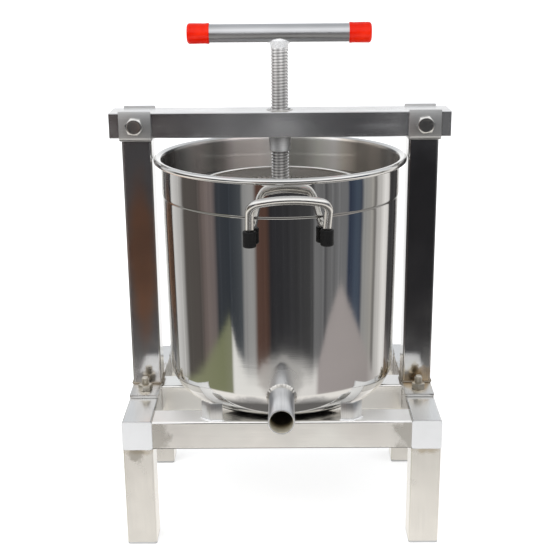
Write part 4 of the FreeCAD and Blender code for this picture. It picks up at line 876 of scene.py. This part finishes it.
def basket_sheet():
    """Perforated sheet rolled into a wall: staggered round holes with a plain border above and below."""
    cols, p = 86, TAU * 82.0 / 86
    rise = p * math.sqrt(3) / 2
    low, high = 141.3, 353.9
    rows = int((high - low - 2 * 7.0) / rise)
    z0 = (low + high) / 2 - (rows - 1) * rise / 2
    hole, k_hole = 1.75, 12
    outer, inner = 82.5, 81.5
    bm = bmesh.new()
    index = {}

    def corner(ci, zi, rad):
        """ci counts half columns, zi counts sixths of the zigzag."""
        key = (ci % (2 * cols), zi, rad)
        if key not in index:
            a = TAU * ci / (2 * cols)
            r = outer if rad else inner
            if zi == "top":
                z = high
            elif zi == "low":
                z = low
            else:
                z = z0 + zi * p / (2 * math.sqrt(3))
            index[key] = bm.verts.new((r * math.cos(a), r * math.sin(a), z))
        return index[key]

    for row in range(rows):
        for c in range(cols):
            ci = 2 * c + (row % 2)
            zi = 3 * row
            a0 = TAU * ci / (2 * cols)
            zc = z0 + row * rise
            rims = []
            for rad in (1, 0):
                r = outer if rad else inner
                ring = []
                for k in range(k_hole):
                    t = TAU * (k / k_hole) + math.radians(30)
                    ang = a0 + hole * math.cos(t) / 82.0
                    ring.append(bm.verts.new((r * math.cos(ang), r * math.sin(ang), zc + hole * math.sin(t))))
                rims.append(ring)
                cor = [corner(ci + 1, zi + 1, rad), corner(ci, zi + 2, rad), corner(ci - 1, zi + 1, rad),
                       corner(ci - 1, zi - 1, rad), corner(ci, zi - 2, rad), corner(ci + 1, zi - 1, rad)]
                for k in range(6):
                    q = (k + 1) % 6
                    bm.faces.new([cor[k], cor[q], ring[(2 * k + 2) % k_hole], ring[2 * k + 1], ring[2 * k]])
            for k in range(k_hole):
                q = (k + 1) % k_hole
                bm.faces.new([rims[0][k], rims[0][q], rims[1][q], rims[1][k]])
    last = rows - 1
    for c in range(2 * cols):
        for rad in (1, 0):
            # under the first row and over the last one, the zigzag meets a straight edge
            def zig(ci, row, up):
                on = (ci - row) % 2 == 0
                return corner(ci, 3 * row + (2 if on else 1) * (1 if up else -1), rad)
            bm.faces.new([zig(c, 0, False), zig(c + 1, 0, False), corner(c + 1, "low", rad), corner(c, "low", rad)])
            bm.faces.new([zig(c, last, True), zig(c + 1, last, True), corner(c + 1, "top", rad), corner(c, "top", rad)])
        for edge in ("low", "top"):
            bm.faces.new([corner(c, edge, 1), corner(c + 1, edge, 1), corner(c + 1, edge, 0), corner(c, edge, 0)])
    bm.verts.index_update()
    verts = [tuple(v.co) for v in bm.verts]
    faces = [[v.index for v in f.verts] for f in bm.faces]
    bm.free()
    return verts, faces


v, f = basket_sheet()
solid("basket_mesh_wall", v, f, "basket", M["basket"], ("basket_wall",), deg=40)

# ------------------------------------------------------- screw and T-handle

h = Heap()
h.add(lathe([(0, 234.05), (7.0, 234.05), (7.4, 234.6), (7.4, 240.0), (7.0, 242.05), (7.0, 250.05), (7.15, 252.0),
             (7.15, 253.2), (7.85, 254.2), (7.85, 503.6), (0, 503.6)], 64))
h.add(thread(7.85, 9.0, 3.0, 254.6, 493.4, segs=48, root=0.90, top=0.24))
solid("screw_thread", h.v, h.f, "screw", M["screw"], ("lead_screw",))

# the weld that joins the screw to the handle tube: built up over the last turns of the thread
n, verts = 72, []
steps = ((0.0, 7.6, 7.6), (0.04, 8.5, 8.5), (0.25, 8.7, 8.7), (0.50, 8.75, 8.7), (0.62, 8.85, 8.7), (0.74, 9.6, 8.7),
         (0.86, 10.4, 8.5), (0.95, 11.1, 8.1), (1.0, 11.2, 6.8))
for t, rx, ry in steps:
    for k in range(n):
        a = TAU * k / n
        rag = noise.noise(Vector((math.cos(a) * 2.6, math.sin(a) * 2.6, t * 4.0)))
        grow = 1.0 + (0.045 if 0.7 < t < 1 else 0.018 if 0 < t < 0.7 else 0.0) * rag
        x, y = rx * grow * math.cos(a), ry * grow * math.sin(a)
        end = 505.4 - math.sqrt(81.0 - (7.4 * math.sin(a)) ** 2) + 0.2
        verts.append((x, y, 489.5 + (end - 489.5) * t + 0.5 * rag * (1 - t) + (0.6 if t == 1 else 0.0)))
faces = [[i * n + k, i * n + (k + 1) % n, (i + 1) * n + (k + 1) % n, (i + 1) * n + k]
         for i in range(len(steps) - 1) for k in range(n)]
faces += [list(range(n)), [(len(steps) - 1) * n + k for k in range(n)]]
solid("handle_weld", verts, faces, "screw", M["weld_painted_highlight"], deg=60)

# dipped end caps: a slightly thicker lip, a soft round end
TO_X = Matrix.Rotation(math.radians(90), 4, "Y")
cap = [(9.03, 0.35), (9.2, 0.0), (9.9, 0.0), (10.2, 0.35), (10.25, 1.0), (10.2, 2.2), (10.0, 3.2), (9.95, 5.0),
       (10.0, 9.0), (10.1, 14.0), (10.15, 18.2)]
cap += arc(7.15, 19.0, 3.0, 0, 90, 10)[1:] + [(4.0, 22.0), (0, 21.95)]
cap += [(0, 20.0), (9.03, 20.0)]
h = Heap()
h.add(lathe(cap, 72), place(69, 0, 505.4, TO_X))
h.add(lathe(cap, 72), place(-69, 0, 505.4, Matrix.Rotation(math.radians(-90), 4, "Y")))
solid("red_grips", h.v, h.f, "screw", M["red"], ("handle_end_caps",))

# ------------------------------------------------------------------- stand

# bolts through the saddles and the beam
h = Heap()
for i, x in enumerate((-144.0, 144.0)):
    head = place(x, -23.3, 417.5, FACE_FRONT)
    h.add(hex_block(16.0, 0.0, 6.4, dish=0.12, turn=(19.0, 40.0)[i]), head)
    back = place(x, 0, 417.5, Matrix.Rotation(math.radians(-90), 4, "X"))
    h.add(lathe([(0, -24), (4.9, -24), (4.9, 20), (4.15, 21.5), (4.15, 38.0), (3.6, 38.7), (0, 38.7)], 40), back)
    h.add(thread(4.15, 5.0, 1.5, 23.0, 38.0, segs=32, root=0.82, top=0.2), back)
solid("saddle_bolts", h.v, h.f, "stand", M["fastener"], ("beam_bolts",))
h = Heap()
for i, x in enumerate((-144.0, 144.0)):
    back = place(x, 0, 417.5, Matrix.Rotation(math.radians(-90), 4, "X"))
    v, f = hex_block(16.0, 25.3, 33.7, chamfer_low=True, turn=(7.0, 22.0)[i])
    h.add((v, f), back)
solid("saddle_nuts", h.v, h.f, "stand", M["fastener"], ("beam_nuts",))

# foot bolts: head under the rail, thread and nut on top
hb, hn = Heap(), Heap()
rng = random.Random(5)
for x in (-144.0, 144.0):
    for y in (-31.0, 31.0):
        at = place(x, y, 0)
        hb.add(hex_block(13.0, 101.7, 107.0, chamfer_top=False, chamfer_low=True, turn=rng.uniform(0, 60)), at)
        hb.add(lathe([(0, 106), (3.9, 106), (3.9, 138), (3.3, 139), (3.3, 153.4), (2.8, 154.0), (0, 154.0)], 36), at)
        hb.add(thread(3.3, 4.0, 1.25, 139.5, 153.6, segs=30, root=0.82, top=0.2), at)
        hn.add(hex_block(13.0, 140.0, 146.5, chamfer_low=True, turn=rng.uniform(0, 60)), at)
solid("foot_studs", hb.v, hb.f, "stand", M["fastener_foot"], ("foot_bolts",))
solid("foot_hex_nuts", hn.v, hn.f, "stand", M["fastener_foot"], ("foot_nuts",))

# set screws of the press plate's hub
h = Heap()
for s in (-1, 1):
    side = place(0, 0, 246.0, Matrix.Rotation(math.radians(90 * s), 4, "Y"))
    h.add(hex_block(10.0, 15.0, 19.0, turn=12.0), side)
    h.add(lathe([(0, 7.4), (2.2, 7.4), (3.0, 8.2), (3.0, 15.2), (0, 15.2)], 32), side)
solid("hub_screws", h.v, h.f, "press_plate", M["fastener"], ("hub_set_screws",))

# the nut: its collar in the beam and the boss below, which narrows a little
h = Heap()
h.add(lathe([(9.05, 388.6), (9.9, 388.6), (10.3, 388.9), (10.45, 389.5), (10.6, 391.5), (11.05, 398.0), (11.4, 403.6),
             (11.8, 404.9), (12.5, 405.2), (12.5, 418.0), (12.5, 430.2), (12.3, 430.5), (12.1, 430.6), (11.2, 430.6),
             (10.95, 430.4), (10.9, 429.2), (10.7, 429.0), (9.05, 429.0)], 96, loop=True))
solid("nut_boss", h.v, h.f, "stand", M["turned"], ("lead_nut",), deg=40)

# saddles: a strip bent up both sides of the beam
def saddle_outline():
    """y along the beam's depth and z, closed, outer bend radius 4."""
    out = [(-23.3, 432.0)] + arc(-19.3, 406.0, 4.0, 180, 270, 7) + arc(19.3, 406.0, 4.0, 270, 360, 7) + [(23.3, 432.0)]
    inn = [(20.3, 432.0)] + [(y, z) for y, z in arc(19.3, 406.0, 1.0, 0, -90, 3)] + \
        [(y, z) for y, z in arc(-19.3, 406.0, 1.0, 270, 180, 3)] + [(-20.3, 432.0)]
    return out + inn


h = Heap()
v, f = prism([(y, z) for y, z in saddle_outline()], -16.0, 16.0, bevel=0.5)
for x in (-144.0, 144.0):
    # the outline lies in the y-z plane: (a, b, c) -> (c, a, b)
    h.add(([(c + x, a, b) for a, b, c in v], f))
solid("beam_saddles", h.v, h.f, "stand", M["strip"], ("saddle_left", "saddle_right"))

# foot plates
h = Heap()
for x in (-144.0, 144.0):
    h.add(prism(round_square(15.0, 47.0, 1.2, 3), 137.0, 140.0, bevel=0.35), place(x, 0, 0))
solid("foot_strips", h.v, h.f, "stand", M["plate"], ("upright_foot_left", "upright_foot_right"))

# plugs in the rails' ends
plug = prism(round_square(15.0, 15.0, 2.4, 5), 0.0, 2.5, bevel=0.7, segs=3)
h = Heap()
for x in (-144.0, 144.0):
    h.add(plug, place(x, -106.5, 122.0, FACE_FRONT))
    h.add(plug, place(x, 106.5, 122.0, Matrix.Rotation(math.radians(-90), 4, "X")))
solid("white_plugs", h.v, h.f, "stand", M["white"], ("rail_end_caps",))

# locating tabs and the blobs of weld that hold them
h, hw = Heap(), Heap()
bent = [(0, 0), (11.2, 4.3), (10.48, 6.16), (0, 2.14), (-10.48, 6.16), (-11.2, 4.3)]
tab = prism(bent, 137.0, 155.5, bevel=0.45)
for i, (x, y, deg) in enumerate(((70.5, -105.8, 18), (-70.5, -105.8, -18), (70.5, 105.8, 162), (-70.5, 105.8, 198))):
    turn = place(x, y, 0, Matrix.Rotation(math.radians(deg), 4, "Z"))
    h.add(tab, turn)
    foot = [Vector(p) for p in ((11.5, 4.0, 137.3), (6.0, 1.8, 137.2), (0.0, -0.5, 137.2), (-6.0, 1.8, 137.2),
                                (-11.5, 4.0, 137.3))]
    hw.add(weld([turn @ p for p in foot], 1.0, 60 + i, ripple=1.9, lump=0.4, wander=0.35))
    rng = random.Random(80 + i)
    for k, (px, py, r) in enumerate(((11.9, 4.4, 1.9), (8.0, 2.4, 1.3), (3.2, 0.5, 1.5), (-1.2, -0.4, 1.9),
                                     (-6.4, 1.6, 1.3), (-11.8, 4.4, 1.8))):
        c = turn @ Vector((px + rng.uniform(-.4, .4), py + rng.uniform(-.3, .3), 137.3))
        hw.add(weld([c, c + Vector((rng.uniform(-1, 1), rng.uniform(-1, 1), 0.25)) * 0.9], r, 90 + 6 * i + k,
                    wander=0.2))
solid("angle_tabs", h.v, h.f, "stand", M["strip_z"], ("locating_tabs",))
solid("tab_welds", hw.v, hw.f, "stand", M["weld_painted_highlight"], deg=60)


def square_run(cx, cy, half_x, half_y, z, r=2.2):
    return [(cx + x, cy + y, z) for x, y in round_square(half_x, half_y, r, 4)]


# welds of the frame
h, hd = Heap(), Heap()
for i, x in enumerate((-144.0, 144.0)):
    # uprights on their foot plates
    hd.add(weld(square_run(x, 0, 15.2, 15.2, 140.5), 1.25, 110 + i, closed=True, ripple=1.8, lump=0.35))
    for j, y in enumerate((-91.5, 91.5)):
        h.add(weld(square_run(x, y, 14.9, 14.9, 106.75), 0.8, 120 + 2 * i + j, closed=True, ripple=1.5, lump=0.3))
for i, s in enumerate((-1, 1)):
    for j, (y0, y1) in enumerate(((-107.0, -78.5), (-14.2, 14.2), (78.5, 107.0))):
        h.add(weld([(129.2 * s, y0, 136.85), (129.2 * s, (y0 + y1) / 2, 136.9), (129.2 * s, y1, 136.85)], 0.85,
                   140 + 3 * i + j, ripple=1.6, lump=0.3))
        # the joint's two sides, where the cross rail's faces meet the side rail
        for q, yy in enumerate((y0 - 0.6, y1 + 0.6)):
            if abs(yy) > 106:
                continue
            h.add(weld([(129.0 * s, yy, 110.5), (129.0 * s, yy, 134.0)], 0.8, 160 + 6 * i + 2 * j + q, lump=0.3))
solid("frame_welds", h.v, h.f, "stand", M["weld"], deg=60)
solid("upright_welds", hd.v, hd.f, "stand", M["weld_dark"], deg=60)

# the nut's fillet under the beam and its thin ring above
h = Heap()
ring = [(12.0 * math.cos(TAU * k / 72), 12.0 * math.sin(TAU * k / 72), 404.7) for k in range(72)]
h.add(weld(ring, 0.9, 201, closed=True, ripple=1.7, lump=0.3))
ring = [(12.6 * math.cos(TAU * k / 72), 12.6 * math.sin(TAU * k / 72), 430.05) for k in range(72)]
h.add(weld(ring, 0.55, 202, closed=True, ripple=1.7, lump=0.3))
solid("nut_welds", h.v, h.f, "stand", M["weld"], deg=60)


# ------------------------------------------------------------------- scene

def camera():
    yaw, pitch, roll = math.radians(-0.434), math.radians(16.854), math.radians(0.499)
    fwd = Vector((math.sin(yaw) * math.cos(pitch), math.cos(yaw) * math.cos(pitch), -math.sin(pitch)))
    right = Vector((math.cos(yaw), -math.sin(yaw), 0))
    down = fwd.cross(right)
    r2 = right * math.cos(roll) + down * math.sin(roll)
    d2 = down * math.cos(roll) - right * math.sin(roll)
    cam = bpy.data.cameras.new("photo")
    cam.sensor_fit = "HORIZONTAL"
    cam.sensor_width = 36.0
    cam.lens = 69.738
    cam.clip_start, cam.clip_end = 0.05, 100
    ob = bpy.data.objects.new("photo", cam)
    rot = Matrix((r2, -d2, -fwd)).transposed().to_4x4()
    ob.matrix_world = Matrix.Translation((0.003951, -1.070365, 0.58188)) @ rot
    SCENE.collection.objects.link(ob)
    SCENE.camera = ob


def floor():
    me = bpy.data.meshes.new("studio_floor")
    s = 20.0
    me.from_pydata([(-s, -s, 0), (s, -s, 0), (s, s, 0), (-s, s, 0)], [], [(0, 1, 2, 3)])
    ob = bpy.data.objects.new("studio_floor", me)
    SCENE.collection.objects.link(ob)
    mat, nt, bsdf, pos = start("floor")
    n = cloud(nt, pos, 3.0, 2.0, 0.5)
    base = blend(nt, n, (0.86, 0.86, 0.86), (0.89, 0.89, 0.885))
    nt.links.new(base, bsdf.inputs["Base Color"])
    bsdf.inputs["Roughness"].default_value = 0.9
    bsdf.inputs["Emission Color"].default_value = (1, 1, 1, 1)
    bsdf.inputs["Emission Strength"].default_value = 0.52
    me.materials.append(mat)
    ob.visible_glossy = False


def studio():
    """Light that surrounds the object: a white surface in front and below, white cards behind and overhead, and
    darker cards and gaps between them at the sides and in front, which polished steel shows as upright bands."""
    w = bpy.data.worlds.new("studio")
    w.use_nodes = True
    nt = w.node_tree
    nt.nodes.clear()
    out = nt.nodes.new("ShaderNodeOutputWorld")
    d = nt.nodes.new("ShaderNodeTexCoord").outputs["Generated"]
    sep = node(nt, "ShaderNodeSeparateXYZ", {0: d})
    x, y, z = sep.outputs
    az = calc(nt, "ARCTAN2", x, calc(nt, "MULTIPLY", y, -1.0))
    az = calc(nt, "ADD", calc(nt, "DIVIDE", az, TAU), 0.5)               # 0 and 1 behind, 0.5 in front
    el = calc(nt, "MULTIPLY", calc(nt, "ARCSINE", z), 180 / math.pi)     # degrees

    def stops(items):
        return [((a + 180) / 360.0, c) for a, c in items]

    # the cards at eye level, from behind on the left, through the front, to behind on the right
    cards = ramp(nt, az, stops([
        (-180, (1.05, 1.05, 1.05)), (-160, (1.0, 1.0, 1.0)), (-156, (0.20, 0.195, 0.19)),
        (-149, (0.13, 0.13, 0.13)), (-146.5, (0.012, 0.012, 0.012)), (-134, (0.010, 0.010, 0.010)),
        (-131, (0.62, 0.61, 0.60)), (-126, (0.72, 0.71, 0.70)), (-118, (0.60, 0.59, 0.58)),
        (-110.5, (0.42, 0.41, 0.40)), (-106.5, (0.108, 0.098, 0.090)), (-85, (0.102, 0.090, 0.084)),
        (-82, (0.145, 0.118, 0.110)), (-76, (0.22, 0.18, 0.17)), (-67.5, (0.19, 0.158, 0.155)),
        (-63, (0.050, 0.055, 0.065)), (-50, (0.042, 0.048, 0.058)), (-38, (0.078, 0.086, 0.096)),
        (-35, (0.34, 0.34, 0.34)), (-26, (0.40, 0.395, 0.39)), (-23, (0.12, 0.068, 0.054)),
        (-13, (0.095, 0.054, 0.042)), (-9.5, (0.030, 0.030, 0.034)), (8, (0.042, 0.042, 0.046)),
        (31, (0.062, 0.062, 0.064)), (34, (0.20, 0.20, 0.205)), (41, (0.17, 0.17, 0.175))]))
    right = ramp(nt, az, stops([
        (41, (0.17, 0.17, 0.175)), (43.5, (0.09, 0.09, 0.095)), (46, (0.165, 0.165, 0.17)),
        (66, (0.20, 0.202, 0.21)), (69, (0.040, 0.052, 0.085)), (80, (0.075, 0.098, 0.135)),
        (83.5, (0.055, 0.065, 0.095)), (87, (0.36, 0.36, 0.355)), (100, (0.41, 0.395, 0.37)),
        (102, (0.22, 0.21, 0.20)), (104, (0.22, 0.21, 0.20)), (106.5, (0.56, 0.545, 0.53)),
        (114, (0.74, 0.72, 0.70)), (121, (1.0, 0.98, 0.96)), (126.5, (0.84, 0.82, 0.80)), (130.5, (0.12, 0.11, 0.105)),
        (147, (0.075, 0.07, 0.07)), (152, (0.22, 0.22, 0.22)), (157, (1.1, 1.1, 1.1))]))
    cards = blend(nt, span(nt, az, 0.6137, 0.6141), cards, right)
    # thin upright lines, such as a room's edges and frames make in polished sheet
    wobble = cloud(nt, node(nt, "ShaderNodeCombineXYZ", {0: calc(nt, "MULTIPLY", az, 90.0), 1: 0.0,
                                                         2: calc(nt, "MULTIPLY", el, 0.02)}).outputs[0], 1.0, 3.0, 0.65)
    cards = blend(nt, 0.7, cards, blend(nt, 1.0, cards, ramp(nt, wobble, [
        (0.28, 0.6), (0.44, 0.95), (0.58, 1.0), (0.68, 1.5), (0.74, 2.0)]), "MULTIPLY"))
    back = span(nt, calc(nt, "ABSOLUTE", calc(nt, "SUBTRACT", az, 0.5)), 0.430, 0.440)
    cards = blend(nt, back, cards, (1.1, 1.1, 1.1))

    # the white surface that the object stands on: its far edge, in degrees below the horizon
    edge = ramp(nt, az, stops([
        (-180, 0.60), (-124, 0.22), (-104, 0.24), (-84, 0.31), (-64, 0.44), (-52, 0.525), (-44, 0.34), (-34, 0.24),
        (-22, 0.215), (0, 0.26), (20, 0.26), (30, 0.23), (37, 0.28), (48, 0.52), (58, 0.69), (62, 0.71), (78, 0.56),
        (98, 0.36), (112, 0.24), (124, 0.22), (180, 0.60)]))
    edge = calc(nt, "SUBTRACT", calc(nt, "MULTIPLY", edge, 10.0), 25.45)
    table = ramp(nt, az, stops([
        (-180, (1.0, 1.0, 1.0)), (-130, (0.80, 0.80, 0.78)), (-116, (0.30, 0.31, 0.20)), (-60, (0.235, 0.25, 0.145)),
        (-50.5, (0.26, 0.27, 0.18)), (-48.5, (0.93, 0.92, 0.89)), (0, (0.95, 0.93, 0.90)), (34, (0.88, 0.86, 0.84)),
        (38, (0.44, 0.40, 0.395)), (96, (0.40, 0.365, 0.355)), (124, (0.86, 0.84, 0.82)), (180, (1.0, 1.0, 1.0))]))
    # nearer the object the surface is evenly lit, and right under it it falls into shade
    near = span(nt, el, -24.6, -28.6)
    table = blend(nt, near, table, (1.02, 0.99, 0.95))
    under = span(nt, el, -38.0, -62.0)
    table = blend(nt, under, table, (0.16, 0.155, 0.15))
    # its far edge is sharp at the sides and soft in front
    soft = ramp(nt, az, stops([(-180, 0.3), (-60, 0.05), (-46, 0.05), (-34, 0.13), (0, 0.24), (28, 0.20), (40, 0.06),
                               (70, 0.05), (180, 0.3)]))
    soft = calc(nt, "MULTIPLY", soft, 5.0)
    low = node(nt, "ShaderNodeMapRange", {"Value": calc(nt, "DIVIDE", calc(nt, "SUBTRACT", el, edge), soft),
                                          "From Min": 1.0, "From Max": -1.0, "To Min": 0.0, "To Max": 1.0},
               interpolation_type="SMOOTHSTEP").outputs["Result"]
    room = blend(nt, low, cards, table)

    # overhead: broad soft light in front and above, and a dimmer ceiling behind
    front = ramp(nt, calc(nt, "MULTIPLY", span(nt, el, 0.0, 90.0, 0.0, 1.0, False), 1.0), [
        (0.08, 0.50), (0.25, 1.0), (0.52, 1.0), (0.72, 0.66), (1.0, 0.48)])
    front = blend(nt, 1.0, front, (1.24, 1.25, 1.27), "MULTIPLY")
    rear = ramp(nt, span(nt, el, 0.0, 90.0, 0.0, 1.0, False), [
        (0.08, 0.98), (0.18, 0.74), (0.38, 0.70), (0.50, 0.56), (0.72, 0.52), (1.0, 0.50)])
    rear = blend(nt, 1.0, rear, (1.06, 1.09, 1.13), "MULTIPLY")
    turned = span(nt, calc(nt, "ABSOLUTE", calc(nt, "SUBTRACT", az, 0.5)), 0.22, 0.36)
    sky = blend(nt, turned, front, rear)
    high = span(nt, el, 6.0, 20.0)
    room = blend(nt, high, room, sky)

    seen = node(nt, "ShaderNodeLightPath").outputs["Is Camera Ray"]
    room = blend(nt, seen, room, (1.0, 1.0, 1.0))
    bg = node(nt, "ShaderNodeBackground", {"Color": room, "Strength": 1.0})
    nt.links.new(bg.outputs[0], out.inputs[0])
    SCENE.world = w


def key_light():
    li = bpy.data.lights.new("key", "AREA")
    li.shape, li.size, li.size_y, li.energy = "RECTANGLE", 1.6, 1.2, 12.0
    ob = bpy.data.objects.new("key", li)
    ob.location = (-0.9, -1.1, 1.9)
    ob.rotation_euler = (Vector((0, 0, 0.25)) - Vector(ob.location)).to_track_quat("-Z", "Y").to_euler()
    ob.visible_glossy = False
    SCENE.collection.objects.link(ob)


camera()
floor()
studio()
key_light()
SCENE.view_settings.view_transform = "Standard"
SCENE.view_settings.look = "None"
SCENE.view_settings.exposure = 0.0

bpy.context.view_layer.update()
